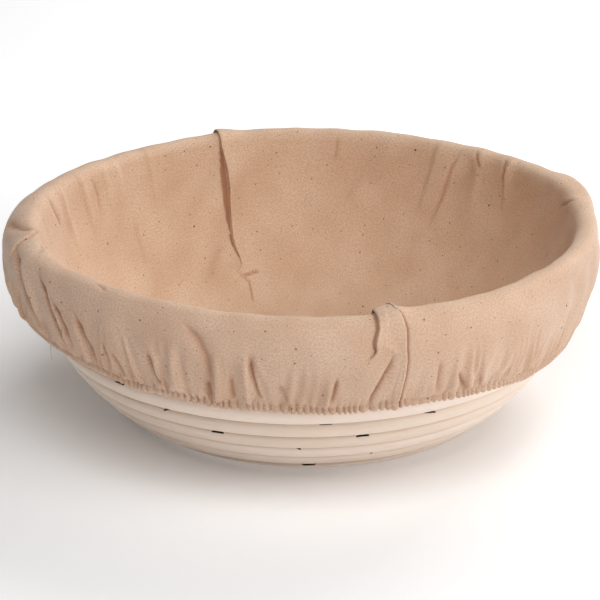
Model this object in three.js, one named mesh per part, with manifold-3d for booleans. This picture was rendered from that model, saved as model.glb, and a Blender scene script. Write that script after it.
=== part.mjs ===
// Round proofing basket: a bowl wound from rattan cane, pinned with wire staples,
// with a removable cloth liner whose elastic cuff turns over the rim.
// Millimetres, +Z up. The basket stands on z = 0 and its axis is the Z axis.
import * as THREE from 'three';
import { mergeVertices } from 'three/addons/utils/BufferGeometryUtils.js';
import Module from 'manifold-3d';

const wasm = await Module();
wasm.setup();

// Driving dimensions

// Clearance between pieces that touch.
const GAP = 0.3;

// Cane, and the centre line of its rounds in a half-plane through the axis:
// a flat base, a tight heel arc and a wide wall arc.
const CANE_DIAMETER = 8.7;
const BASE_RADIUS = 76;
const HEEL_RADIUS = 8;
const HEEL_DEGREES = 37.5;
const WALL_RADIUS = 102;
const RIM_HEIGHT = 81.5;

// What is shaved off the underside, so that the base stands flat.
const UNDERSIDE_SHAVING = 0.2;

// The first round curls round a small hole, and the last is shaved level at the rim down to a thin end.
const FIRST_ROUND_RADIUS = 6.75;
const CANE_END_THICKNESS = 1;

// Splices between lengths of cane: rounds in each length of the wall, their place round the axis, and the
// thickness that a slanted end is cut down to.
const ROUNDS_PER_LENGTH = 3;
const SPLICE_DEGREES = 83.5;
const SPLICE_END_THICKNESS = 0.8;

// Where the spiral stands on the basket: the direction of its inner end, and the front of the basket.
const SPIRAL_DEGREES = 38.5;
const FRONT_DEGREES = -90;

// Wire staples: a crown along the groove and two legs into the round below.
const STAPLE_CROWN = 6;
const STAPLE_LEG = 11.8;
const STAPLE_WIRE = 0.8;
const STAPLE_STAND_OUT = 2.8;

// Cloth liner.
const CLOTH_THICKNESS = 0.8;
const CREST_RISE = 2.2;
const HEM_HEIGHT = 44.3;
const HEM_TURN_UP = 6;
const ELASTIC_WIDTH = 4;
const ELASTIC_THICKNESS = 0.8;
const THREAD_DIAMETER = 0.6;

// Facets: steps in one round, sides of the cane, and points along the liner's arcs.
const STEPS_PER_ROUND = 24;
const CANE_SIDES = 8;
const CUTTER_STEPS = 8;
const HEEL_POINTS = 3;
const WALL_POINTS = 6;
const CREST_POINTS = 8;
const THREAD_SIDES = 6;

// Staples that show at the front, as degrees round from the front, for each stapled round counted from the
// last round of the flat base. Round the back and sides they are evenly spaced.
const FRONT_STAPLES = new Map([
  [1, [1.5]],
  [2, [-18, 16.4]],
  [3, [-2]],
  [4, [-42.6, -19.5, 13.5]],
  [5, [-30, 5, 28]],
  [6, [-41.7]],
]);
const BACK_STAPLES = [75, 117, 159, 201, 243, 285];

// Worked out from the above

const PITCH = CANE_DIAMETER + GAP;
const CANE_RADIUS = CANE_DIAMETER / 2;
const HEEL_ANGLE = THREE.MathUtils.degToRad(HEEL_DEGREES);
const BASE_HEIGHT = CANE_RADIUS - UNDERSIDE_SHAVING;
const HEEL_CENTRE = new THREE.Vector2(BASE_RADIUS, BASE_HEIGHT + HEEL_RADIUS);
const WALL_CENTRE = new THREE.Vector2(
  HEEL_CENTRE.x - (WALL_RADIUS - HEEL_RADIUS) * Math.sin(HEEL_ANGLE),
  HEEL_CENTRE.y + (WALL_RADIUS - HEEL_RADIUS) * Math.cos(HEEL_ANGLE),
);
const FULL_TURN = 2 * Math.PI;
const LAST_BASE_ROUND = Math.floor(BASE_RADIUS / PITCH);

// The rounds are spaced along the line of the inner edges of the cane's flat sides, where they come closest.
const SPACING_INSET = CANE_RADIUS * Math.tan(Math.PI / CANE_SIDES);
const HEEL_SPACING_RADIUS = HEEL_RADIUS - SPACING_INSET;
const WALL_SPACING_RADIUS = WALL_RADIUS - SPACING_INSET;
const HEEL_LENGTH = HEEL_SPACING_RADIUS * HEEL_ANGLE;

const CANE_COLOUR = 0xd9c7ad;
const CLOTH_COLOUR = 0xd8bd9f;
const materials = {
  cane: new THREE.MeshStandardMaterial({ color: CANE_COLOUR, roughness: 0.55, metalness: 0 }),
  staple: new THREE.MeshStandardMaterial({ color: 0x5a4a3c, roughness: 0.5, metalness: 0.8 }),
  cloth: new THREE.MeshStandardMaterial({ color: CLOTH_COLOUR, roughness: 0.95, metalness: 0 }),
  elastic: new THREE.MeshStandardMaterial({ color: 0xe8e2d8, roughness: 0.8, metalness: 0 }),
  thread: new THREE.MeshStandardMaterial({ color: 0xe6d6bf, roughness: 0.9, metalness: 0 }),
};

// Slope of the wall, from the horizontal, where the line at an inset from the cane's centre reaches a height.
function wallAngleAt(height, inset = 0) {
  return Math.acos((WALL_CENTRE.y - height) / (WALL_RADIUS - inset));
}

// Length along the spacing line, from the axis, of a slope on the wall.
function lengthAtWallAngle(angle) {
  return BASE_RADIUS + HEEL_LENGTH + WALL_SPACING_RADIUS * (angle - HEEL_ANGLE);
}

// Slope of the bowl at a length from the axis along the spacing line.
function slopeAt(length) {
  const onHeel = length - BASE_RADIUS;
  if (onHeel <= 0) return 0;
  if (onHeel <= HEEL_LENGTH) return onHeel / HEEL_SPACING_RADIUS;
  return HEEL_ANGLE + (onHeel - HEEL_LENGTH) / WALL_SPACING_RADIUS;
}

// Point of the half-plane (distance from the axis, height) at a slope, moved in towards the dough by inset.
function arcPoint(angle, inset) {
  const onHeel = angle <= HEEL_ANGLE;
  const centre = onHeel ? HEEL_CENTRE : WALL_CENTRE;
  const radius = (onHeel ? HEEL_RADIUS : WALL_RADIUS) - inset;
  return new THREE.Vector2(centre.x + radius * Math.sin(angle), centre.y - radius * Math.cos(angle));
}

// The same at a length from the axis.
function bowlPoint(length, inset = 0) {
  if (length < BASE_RADIUS) return new THREE.Vector2(length, BASE_HEIGHT + inset);
  return arcPoint(slopeAt(length), inset);
}

// Puts a point of the half-plane at an angle round the axis.
function turned(flat, angle) {
  return new THREE.Vector3(flat.x * Math.cos(angle), flat.x * Math.sin(angle), flat.y);
}

function angleOfRound(round) {
  return THREE.MathUtils.degToRad(SPIRAL_DEGREES) + FULL_TURN * round;
}

// A stretch of the cane's spiral. Equal steps are equal angles, so that the facets of one round lie against
// those of the next, and each section stands in a half-plane through the axis.
class CaneSpiral extends THREE.Curve {
  constructor(fromRound, toRound, shiftFrom = 0, shiftTo = 0) {
    super();
    this.fromRound = fromRound;
    this.toRound = toRound;
    this.shiftFrom = shiftFrom;
    this.shiftTo = shiftTo;
  }

  roundAt(t) {
    return THREE.MathUtils.lerp(this.fromRound, this.toRound, t);
  }

  lengthAt(t) {
    return this.roundAt(t) * PITCH + THREE.MathUtils.lerp(this.shiftFrom, this.shiftTo, t);
  }

  getPoint(t, target = new THREE.Vector3()) {
    return target.copy(turned(bowlPoint(this.lengthAt(t)), angleOfRound(this.roundAt(t))));
  }

  getUtoTmapping(u) {
    return u;
  }

  computeFrenetFrames(segments) {
    const frames = { tangents: [], normals: [], binormals: [] };
    for (let i = 0; i <= segments; i += 1) {
      const angle = angleOfRound(this.roundAt(i / segments));
      const slope = slopeAt(this.lengthAt(i / segments));
      frames.tangents.push(new THREE.Vector3(-Math.sin(angle), Math.cos(angle), 0));
      frames.normals.push(turned(new THREE.Vector2(Math.cos(slope), Math.sin(slope)), angle));
      frames.binormals.push(turned(new THREE.Vector2(Math.sin(slope), -Math.cos(slope)), angle));
    }
    return frames;
  }
}

// Eight-sided section of the cane, with flat sides towards the floor and the neighbouring rounds.
function caneSection() {
  const corner = CANE_RADIUS / Math.cos(Math.PI / CANE_SIDES);
  const points = [];
  for (let i = 0; i < CANE_SIDES; i += 1) {
    const angle = (FULL_TURN * (i + 0.5)) / CANE_SIDES;
    points.push(new THREE.Vector2(corner * Math.cos(angle), corner * Math.sin(angle)));
  }
  return new THREE.Shape(points);
}

// Square section that stands on one side of its path, towards the rim (1) or the base (-1).
function sideSection(size, towards) {
  const corners = [[0, -1], [1, -1], [1, 1], [0, 1]];
  return new THREE.Shape(corners.map(([x, y]) => new THREE.Vector2(x * size * towards, (y * size) / 2)));
}

function sweep(section, spiral, steps) {
  return new THREE.ExtrudeGeometry(section, { steps, extrudePath: spiral, bevelEnabled: false });
}

// Boolean cuts

function toSolid(geometry) {
  const bare = geometry.clone();
  bare.deleteAttribute('normal');
  bare.deleteAttribute('uv');
  const merged = mergeVertices(bare, 1e-4);
  const vertProperties = new Float32Array(merged.attributes.position.array);
  const triVerts = new Uint32Array(merged.index.array);
  return new wasm.Manifold(new wasm.Mesh({ numProp: 3, vertProperties, triVerts }));
}

function toGeometry(solid) {
  const { vertProperties, triVerts } = solid.getMesh();
  const geometry = new THREE.BufferGeometry();
  geometry.setAttribute('position', new THREE.BufferAttribute(vertProperties, 3));
  geometry.setIndex(new THREE.BufferAttribute(triVerts, 1));
  geometry.computeVertexNormals();
  return geometry;
}

// Wire staples

// The crown's middle is at the origin, along X, and the legs point down Y.
function stapleGeometry() {
  const half = STAPLE_CROWN / 2;
  const top = STAPLE_WIRE / 2;
  const tip = top - STAPLE_LEG;
  const shape = new THREE.Shape();
  shape.moveTo(-half, tip);
  shape.lineTo(-half + STAPLE_WIRE, tip);
  shape.lineTo(-half + STAPLE_WIRE, -top);
  shape.lineTo(half - STAPLE_WIRE, -top);
  shape.lineTo(half - STAPLE_WIRE, tip);
  shape.lineTo(half, tip);
  shape.lineTo(half, top);
  shape.lineTo(-half, top);
  shape.closePath();
  const geometry = new THREE.ExtrudeGeometry(shape, { depth: STAPLE_WIRE, bevelEnabled: false });
  return geometry.translate(0, 0, -STAPLE_WIRE / 2);
}

// The slit that a staple opens along the grain of the canes, from leg to leg.
function slitGeometry() {
  const clear = 2 * GAP;
  const slit = new THREE.BoxGeometry(STAPLE_CROWN + clear, STAPLE_LEG + clear, STAPLE_WIRE + clear);
  return slit.translate(0, (STAPLE_WIRE - STAPLE_LEG) / 2, 0);
}

// Place of a staple: its crown lies in the groove above a round and its legs point into the round below.
function stapleMatrix(coil, degreesFromFront) {
  const round = coil + (FRONT_DEGREES - SPIRAL_DEGREES + degreesFromFront) / 360;
  const angle = angleOfRound(round);
  const groove = round * PITCH + CANE_RADIUS;
  const crown = bowlPoint(groove - STAPLE_WIRE / 2, -STAPLE_STAND_OUT);
  const below = bowlPoint((round - 1) * PITCH);
  const up = crown.clone().sub(below).normalize();
  const along = new THREE.Vector3(-Math.sin(angle), Math.cos(angle), 0);
  const upwards = turned(up, angle);
  const across = along.clone().cross(upwards);
  return new THREE.Matrix4().makeBasis(along, upwards, across).setPosition(turned(crown, angle));
}

function staplePlaces() {
  const places = [];
  for (const [row, front] of FRONT_STAPLES) {
    for (const degrees of [...front, ...BACK_STAPLES]) {
      places.push(stapleMatrix(LAST_BASE_ROUND + row, degrees));
    }
  }
  return places;
}

// Cane lengths

// Solid above or below the slanted cut of a splice, which runs over one step of the spiral from round.
// Both lengths keep a blunt end, which faces a small step in the other across the gap.
function spliceCutter(round, above) {
  const span = 1 / STEPS_PER_ROUND;
  const gapRound = GAP / (FULL_TURN * bowlPoint(round * PITCH).x);
  const from = round - gapRound;
  const to = round + span + gapRound;
  const high = CANE_RADIUS - GAP - SPLICE_END_THICKNESS;
  const low = SPLICE_END_THICKNESS - CANE_RADIUS;
  const cutAt = (place) => THREE.MathUtils.lerp(high, low, (place - round) / span);
  const shift = above ? 0 : GAP;
  const spiral = new CaneSpiral(from, to, cutAt(from) + shift, cutAt(to) + shift);
  return toSolid(sweep(sideSection(2 * CANE_DIAMETER, above ? 1 : -1), spiral, CUTTER_STEPS));
}

// Thick round plate with its underside at a height, for shaving canes level.
function levelCutter(height) {
  const radius = 2 * WALL_RADIUS;
  const plate = new THREE.CylinderGeometry(radius, radius, WALL_RADIUS, STEPS_PER_ROUND);
  return toSolid(plate.rotateX(Math.PI / 2).translate(0, 0, height + WALL_RADIUS / 2));
}

function wholeStep(round) {
  return Math.round(round * STEPS_PER_ROUND) / STEPS_PER_ROUND;
}

function caneGeometries(slits) {
  const first = wholeStep(FIRST_ROUND_RADIUS / PITCH);
  const endHeight = RIM_HEIGHT - CANE_END_THICKNESS + CANE_RADIUS;
  const last = wholeStep(lengthAtWallAngle(wallAngleAt(endHeight)) / PITCH);
  const baseEnd = LAST_BASE_ROUND - 1 + wholeStep((SPLICE_DEGREES - SPIRAL_DEGREES) / 360);
  const ends = [first, baseEnd];
  while (last - ends.at(-1) > ROUNDS_PER_LENGTH + 1) ends.push(ends.at(-1) + ROUNDS_PER_LENGTH);
  ends.push(last);
  const aboveRim = levelCutter(RIM_HEIGHT);
  const underFloor = levelCutter(-WALL_RADIUS);
  const span = 1 / STEPS_PER_ROUND;
  const lengths = [];
  const count = ends.length - 1;
  for (let i = 0; i < count; i += 1) {
    const isFirst = i === 0;
    const isLast = i === count - 1;
    const to = isLast ? ends[i + 1] : ends[i + 1] + span;
    const steps = Math.round((to - ends[i]) * STEPS_PER_ROUND);
    let solid = toSolid(sweep(caneSection(), new CaneSpiral(ends[i], to), steps));
    if (!isFirst) solid = solid.subtract(spliceCutter(ends[i], false));
    solid = solid.subtract(isLast ? aboveRim : spliceCutter(ends[i + 1], true));
    lengths.push(toGeometry(solid.subtract(underFloor).subtract(slits)));
  }
  return lengths;
}

// Cloth liner

// Ring turned about the axis from a closed outline of the half-plane, with its facets against the cane's.
function ring(outline) {
  const closed = [...outline, outline[0].clone()];
  const geometry = new THREE.LatheGeometry(closed, STEPS_PER_ROUND);
  geometry.rotateX(Math.PI / 2);
  return geometry.rotateZ(THREE.MathUtils.degToRad(SPIRAL_DEGREES));
}

// Line of the bowl between two slopes at an inset.
function arcLine(fromAngle, toAngle, inset, count) {
  const points = [];
  for (let i = 0; i <= count; i += 1) {
    points.push(arcPoint(THREE.MathUtils.lerp(fromAngle, toAngle, i / count), inset));
  }
  return points;
}

// Layers of the liner as insets from the cane's centre line; outside the basket they are negative.
const LINING_FACE = CANE_RADIUS + GAP;
const LINING_BACK = LINING_FACE + CLOTH_THICKNESS;
const TURN_UP_FACE = -(CANE_RADIUS + GAP);
const TURN_UP_BACK = TURN_UP_FACE - CLOTH_THICKNESS;
const ELASTIC_FACE = TURN_UP_BACK - GAP;
const ELASTIC_BACK = ELASTIC_FACE - ELASTIC_THICKNESS;
const CUFF_FACE = ELASTIC_BACK - GAP;
const CUFF_BACK = CUFF_FACE - CLOTH_THICKNESS;

const RIM_ANGLE = wallAngleAt(RIM_HEIGHT);
const HEM_ANGLE = wallAngleAt(HEM_HEIGHT);

// Slope that lies a given way up the wall from another, measured on the cuff.
function furtherUp(angle, way) {
  return angle + way / (WALL_RADIUS - CUFF_FACE);
}

function linerBase() {
  const edge = BASE_RADIUS - GAP;
  const low = BASE_HEIGHT + LINING_FACE;
  const high = BASE_HEIGHT + LINING_BACK;
  const outline = [[0, low], [edge, low], [edge, high], [0, high]].map(([x, y]) => new THREE.Vector2(x, y));
  const geometry = new THREE.LatheGeometry(outline, STEPS_PER_ROUND);
  geometry.rotateX(Math.PI / 2);
  return geometry.rotateZ(THREE.MathUtils.degToRad(SPIRAL_DEGREES));
}

function linerWall() {
  const top = wallAngleAt(RIM_HEIGHT, LINING_BACK);
  const heelOut = arcLine(0, HEEL_ANGLE, LINING_FACE, HEEL_POINTS);
  const heelIn = arcLine(0, HEEL_ANGLE, LINING_BACK, HEEL_POINTS);
  const wallOut = arcLine(HEEL_ANGLE, top, LINING_FACE, WALL_POINTS).slice(1);
  const wallIn = arcLine(HEEL_ANGLE, top, LINING_BACK, WALL_POINTS).slice(1);
  const outside = [...heelOut, ...wallOut];
  const inside = [...heelIn, ...wallIn];
  return ring([...outside, ...inside.reverse()]);
}

// Half an oval over the rim, from the inside of the basket to the outside.
function crestLine(fromX, toX, level, rise) {
  const points = [];
  for (let i = 0; i <= CREST_POINTS; i += 1) {
    const angle = Math.PI * (1 - i / CREST_POINTS);
    const x = (fromX + toX) / 2 + ((toX - fromX) / 2) * Math.cos(angle);
    points.push(new THREE.Vector2(x, level + rise * Math.sin(angle)));
  }
  return points;
}

function linerCuff() {
  const level = RIM_HEIGHT + GAP;
  const lining = arcPoint(RIM_ANGLE, LINING_FACE).x;
  const cuff = arcPoint(RIM_ANGLE, CUFF_FACE).x;
  const crestUnder = crestLine(lining, cuff, level, CREST_RISE);
  const crestOver = crestLine(lining - CLOTH_THICKNESS, cuff + CLOTH_THICKNESS, level, CREST_RISE + CLOTH_THICKNESS);
  const fold = furtherUp(HEM_ANGLE, CLOTH_THICKNESS);
  const turnUpTop = furtherUp(HEM_ANGLE, HEM_TURN_UP);
  const outside = arcLine(RIM_ANGLE, HEM_ANGLE, CUFF_BACK, WALL_POINTS).slice(1);
  const turnUp = [
    arcPoint(HEM_ANGLE, TURN_UP_FACE),
    arcPoint(turnUpTop, TURN_UP_FACE),
    arcPoint(turnUpTop, TURN_UP_BACK),
    arcPoint(fold, TURN_UP_BACK),
  ];
  const inside = arcLine(fold, RIM_ANGLE, CUFF_FACE, WALL_POINTS).slice(0, -1);
  return ring([...crestOver, ...outside, ...turnUp, ...inside, ...crestUnder.reverse()].reverse());
}

function hemElastic() {
  const low = furtherUp(HEM_ANGLE, CLOTH_THICKNESS + GAP);
  const high = furtherUp(low, ELASTIC_WIDTH);
  const outline = [
    arcPoint(low, ELASTIC_FACE),
    arcPoint(low, ELASTIC_BACK),
    arcPoint(high, ELASTIC_BACK),
    arcPoint(high, ELASTIC_FACE),
  ];
  return ring(outline);
}

// The stitching's thread lies on the cuff just above the elastic.
function hemThread() {
  const radius = THREAD_DIAMETER / 2;
  const middle = arcPoint(furtherUp(HEM_ANGLE, HEM_TURN_UP), CUFF_BACK - GAP - radius);
  const outline = [];
  for (let i = 0; i < THREAD_SIDES; i += 1) {
    const angle = (FULL_TURN * i) / THREAD_SIDES;
    outline.push(new THREE.Vector2(middle.x + radius * Math.cos(angle), middle.y + radius * Math.sin(angle)));
  }
  return ring(outline);
}

// Assembly

function piece(name, geometry, material) {
  const mesh = new THREE.Mesh(geometry, material);
  mesh.name = name;
  return mesh;
}

function buildBasket() {
  const basket = new THREE.Group();
  const places = staplePlaces();
  const slit = slitGeometry();
  const slits = wasm.Manifold.union(places.map((place) => toSolid(slit.clone().applyMatrix4(place))));
  caneGeometries(slits).forEach((geometry, i) => {
    basket.add(piece(i === 0 ? 'base_cane' : `wall_cane_${i}`, geometry, materials.cane));
  });
  places.forEach((place, i) => {
    const staple = piece(`staple_${String(i + 1).padStart(2, '0')}`, stapleGeometry(), materials.staple);
    staple.applyMatrix4(place);
    basket.add(staple);
  });
  return basket;
}

function buildLiner() {
  const liner = new THREE.Group();
  liner.add(piece('liner_base', linerBase(), materials.cloth));
  liner.add(piece('liner_wall', linerWall(), materials.cloth));
  liner.add(piece('liner_cuff', linerCuff(), materials.cloth));
  liner.add(piece('hem_elastic', hemElastic(), materials.elastic));
  liner.add(piece('hem_thread', hemThread(), materials.thread));
  return liner;
}

const proofingBasket = new THREE.Group();
proofingBasket.add(buildBasket(), buildLiner());

export default proofingBasket;
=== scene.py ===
"""Looks of a round proofing basket: wound cane, wire staples, and a cloth liner with a gathered cuff.

Metres and +Z up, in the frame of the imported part. The front of the photograph is -Y.
"""

import logging
import math
from dataclasses import dataclass, field
from enum import Enum

import bpy
import numpy as np
from mathutils import Matrix, Vector


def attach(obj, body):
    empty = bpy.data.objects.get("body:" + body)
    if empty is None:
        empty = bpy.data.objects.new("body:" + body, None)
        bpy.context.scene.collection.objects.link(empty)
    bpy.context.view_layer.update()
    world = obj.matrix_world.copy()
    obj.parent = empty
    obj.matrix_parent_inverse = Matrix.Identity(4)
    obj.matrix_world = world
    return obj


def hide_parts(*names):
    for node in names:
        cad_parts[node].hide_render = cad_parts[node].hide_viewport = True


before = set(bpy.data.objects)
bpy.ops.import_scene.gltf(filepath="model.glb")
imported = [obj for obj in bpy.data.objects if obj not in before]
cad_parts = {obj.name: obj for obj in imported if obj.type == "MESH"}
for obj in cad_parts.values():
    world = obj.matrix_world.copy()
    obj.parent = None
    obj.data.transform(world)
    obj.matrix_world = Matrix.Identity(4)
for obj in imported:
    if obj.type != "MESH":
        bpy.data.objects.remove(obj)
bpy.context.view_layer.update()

LOG = logging.getLogger("proofing_basket")
MM = 0.001
RIM_RADIUS = 120.0 * MM
STRAND_UV = 0.15 * MM
Array = np.ndarray
Triple = tuple[float, float, float]
Colour = Triple
Stations = tuple[tuple[float, float], ...]
ASKEW: Triple = (0.31, 0.17, 0.93)


class Face(Enum):
    """Side of the liner that a fold lies on."""

    LINING = "from the rim down the inside"
    CUFF = "from the hem up the outside"


class Facing(Enum):
    """Way that a pleat's edge faces, seen from above."""

    ANTICLOCKWISE = 1
    CLOCKWISE = -1


class Sunk(Enum):
    """How deep a staple sits in its groove at its left and right ends, in millimetres."""

    BRIDGING = (-1.2, -1.0)
    PROUD = (-0.35, -0.3)
    THIN = (0.42, 0.48)
    LEFT_END = (-0.5, 1.6)
    RIGHT_END = (1.6, -0.5)
    SLANTED = (0.5, -0.3)
    FAINT = (0.35, 0.45)


# Numbers and meshes


def spline(knot_places: Array, knots: Array, places: Array) -> Array:
    """Smooth curve through knots at uneven places.

    Args:
        knot_places: rising place of each knot.
        knots: one value, or one array of values, for each knot.
        places: where the curve is wanted.

    Returns:
        The curve's value at each place.
    """
    at = np.asarray(knot_places, dtype=float)
    values = np.asarray(knots, dtype=float)
    column = (-1,) + (1,) * (values.ndim - 1)
    steps = np.diff(at).reshape(column)
    chords = np.diff(values, axis=0) / steps
    slopes = np.empty_like(values)
    slopes[0], slopes[-1] = chords[0], chords[-1]
    slopes[1:-1] = (values[2:] - values[:-2]) / (at[2:] - at[:-2]).reshape(column)
    k = np.clip(np.searchsorted(at, places, side="right") - 1, 0, len(at) - 2)
    span = steps[k]
    f = (np.asarray(places, dtype=float) - at[k]).reshape(column) / span
    start = (1 + 2 * f) * (1 - f) ** 2 * values[k] + f * (1 - f) ** 2 * span * slopes[k]
    end = f**2 * (3 - 2 * f) * values[k + 1] + f**2 * (f - 1) * span * slopes[k + 1]
    return start + end


def around(stations: Stations, degrees: Array) -> Array:
    """Smooth value round the axis through (degrees, value) stations.

    Args:
        stations: places and values, with rising degrees within one turn.
        degrees: where the value is wanted.

    Returns:
        The value at each place.
    """
    table = np.array(stations, dtype=float)
    turns = [table + (shift, 0.0) for shift in (-360.0, 0.0, 360.0)]
    places, values = np.concatenate(turns).T
    return spline(places, values, np.ravel(degrees)).reshape(np.shape(degrees))


def along(stations: Stations, places: Array) -> Array:
    """Value between (place, value) stations, straight between them and level past the ends."""
    places_known, values = np.array(stations, dtype=float).T
    return np.interp(places, places_known, values)


def smooth_step(low: float, high: float, value: Array) -> Array:
    """Eased rise from 0 at low to 1 at high."""
    f = np.clip((value - low) / (high - low), 0.0, 1.0)
    return f * f * (3 - 2 * f)


def wrapped(degrees: Array) -> Array:
    """Angles brought to between -180 and 180 degrees."""
    return (degrees + 180.0) % 360.0 - 180.0


def waves(turns: Array, counts: tuple[int, ...], seed: int) -> Array:
    """Uneven waviness round the axis, made of a few whole waves.

    Args:
        turns: places, in turns round the axis.
        counts: waves in one turn, one for each wave.
        seed: seed of the waves' phases and strengths.

    Returns:
        Waviness of about one unit at each place.
    """
    rng = np.random.default_rng(seed)
    total = np.zeros_like(turns, dtype=float)
    for count in counts:
        strength = rng.uniform(0.5, 1.0)
        total += strength * np.sin(2 * np.pi * (count * turns + rng.uniform()))
    return total / math.sqrt(len(counts))


def to_space(radius: Array, height: Array, angle: Array) -> Array:
    """Points at a distance from the axis, a height and an angle round it."""
    return np.stack([radius * np.cos(angle), radius * np.sin(angle), height], axis=-1)


def grid_object(name: str, points: Array, uv: Array, closed_columns: bool, closed_rows: bool = False,
                capped: bool = False, painted_shade: Array | None = None) -> bpy.types.Object:
    """Smooth mesh over a grid of points.

    Args:
        name: name of the piece.
        points: columns by rows by 3, in metres.
        uv: texture places, with one more column or row than points where those close.
        closed_columns: whether the last column joins the first.
        closed_rows: whether the last row joins the first.
        capped: whether the first and last columns get an end face.
        painted_shade: share of painted shade at each point, in creases, pleat mouths, the hem's gaps and the cane's
            grooves, from 0 to 1.

    Returns:
        The new object.
    """
    columns, rows = points.shape[:2]
    i, j = np.meshgrid(np.arange(columns if closed_columns else columns - 1),
                       np.arange(rows if closed_rows else rows - 1), indexing="ij")
    corners = [(i, j), (i, j + 1), (i + 1, j + 1), (i + 1, j)]
    vertex = np.stack([(a % columns) * rows + b % rows for a, b in corners], axis=-1).reshape(-1, 4)
    loop_uv = np.stack([uv[a, b] for a, b in corners], axis=-2).reshape(-1, 2)
    loops = vertex.ravel()
    totals = np.full(len(vertex), 4)
    if capped:
        caps = [np.arange(rows), (columns - 1) * rows + np.arange(rows)[::-1]]
        loops = np.concatenate([loops, *caps])
        totals = np.concatenate([totals, [rows, rows]])
        loop_uv = np.concatenate([loop_uv, uv[0, :rows], uv[columns - 1, :rows][::-1]])
    mesh = bpy.data.meshes.new(name)
    mesh.vertices.add(columns * rows)
    mesh.vertices.foreach_set("co", points.astype(np.float32).ravel())
    mesh.loops.add(len(loops))
    mesh.loops.foreach_set("vertex_index", loops.astype(np.int32))
    mesh.polygons.add(len(totals))
    mesh.polygons.foreach_set("loop_start", (np.cumsum(totals) - totals).astype(np.int32))
    mesh.polygons.foreach_set("use_smooth", np.ones(len(totals), dtype=bool))
    layer = mesh.uv_layers.new(name="laid_flat")
    layer.data.foreach_set("uv", loop_uv.astype(np.float32).ravel())
    # Painted shade, kept on the points for the materials to darken by.
    if painted_shade is not None:
        tone = mesh.attributes.new("painted_shade", "FLOAT", "POINT")
        tone.data.foreach_set("value", painted_shade.astype(np.float32).ravel())
    mesh.update(calc_edges=True)
    mesh.validate()
    piece = bpy.data.objects.new(name, mesh)
    bpy.context.scene.collection.objects.link(piece)
    return piece


def tube_points(path: Array, radius: float, sides: int, beside: Triple | Array) -> Array:
    """Round tube along a path.

    Args:
        path: points of the middle line.
        radius: radius of the tube.
        sides: points round it.
        beside: direction that the path never takes.

    Returns:
        Points, stations by sides by 3.
    """
    tangents = np.gradient(path, axis=0)
    tangents /= np.linalg.norm(tangents, axis=1, keepdims=True)
    first = np.cross(tangents, np.array(beside))
    first /= np.linalg.norm(first, axis=1, keepdims=True)
    second = np.cross(tangents, first)
    turn = 2 * np.pi * np.arange(sides) / sides
    ring = np.cos(turn)[:, None, None] * first + np.sin(turn)[:, None, None] * second
    return (path + radius * ring).transpose(1, 0, 2)


def strand_object(name: str, path: Array, radius: float, sides: int, run: Array | None = None,
                  beside: Triple | Array = ASKEW) -> bpy.types.Object:
    """Round strand along a path, with closed ends.

    Args:
        name: name of the piece.
        path: points of the middle line.
        radius: radius of the strand.
        sides: points round it.
        run: texture place of each point, where the finish has a twist.
        beside: direction that the path never takes.

    Returns:
        The new object.
    """
    uv = np.zeros((len(path), sides + 1, 2))
    if run is not None:
        uv[..., 0] = run[:, None]
        uv[..., 1] = STRAND_UV * np.arange(sides + 1)
    points = tube_points(path, radius, sides, beside)
    return grid_object(name, points, uv, closed_columns=False, closed_rows=True, capped=True)


def join(name: str, pieces: list[bpy.types.Object]) -> bpy.types.Object:
    """Joins loose copies of a small piece into one object.

    Args:
        name: name of the joined piece.
        pieces: objects with meshes of their own.

    Returns:
        The joined object.
    """
    with bpy.context.temp_override(active_object=pieces[0], selected_editable_objects=pieces):
        bpy.ops.object.join()
    pieces[0].name = name
    pieces[0].data.name = name
    return pieces[0]


def dress(piece: bpy.types.Object, material: bpy.types.Material, body: str) -> None:
    """Gives a piece its material and its body, and reports it."""
    piece.data.materials.append(material)
    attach(piece, body)
    LOG.info("%s on the %s: %d faces", piece.name, body, len(piece.data.polygons))


# Finishes


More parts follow.
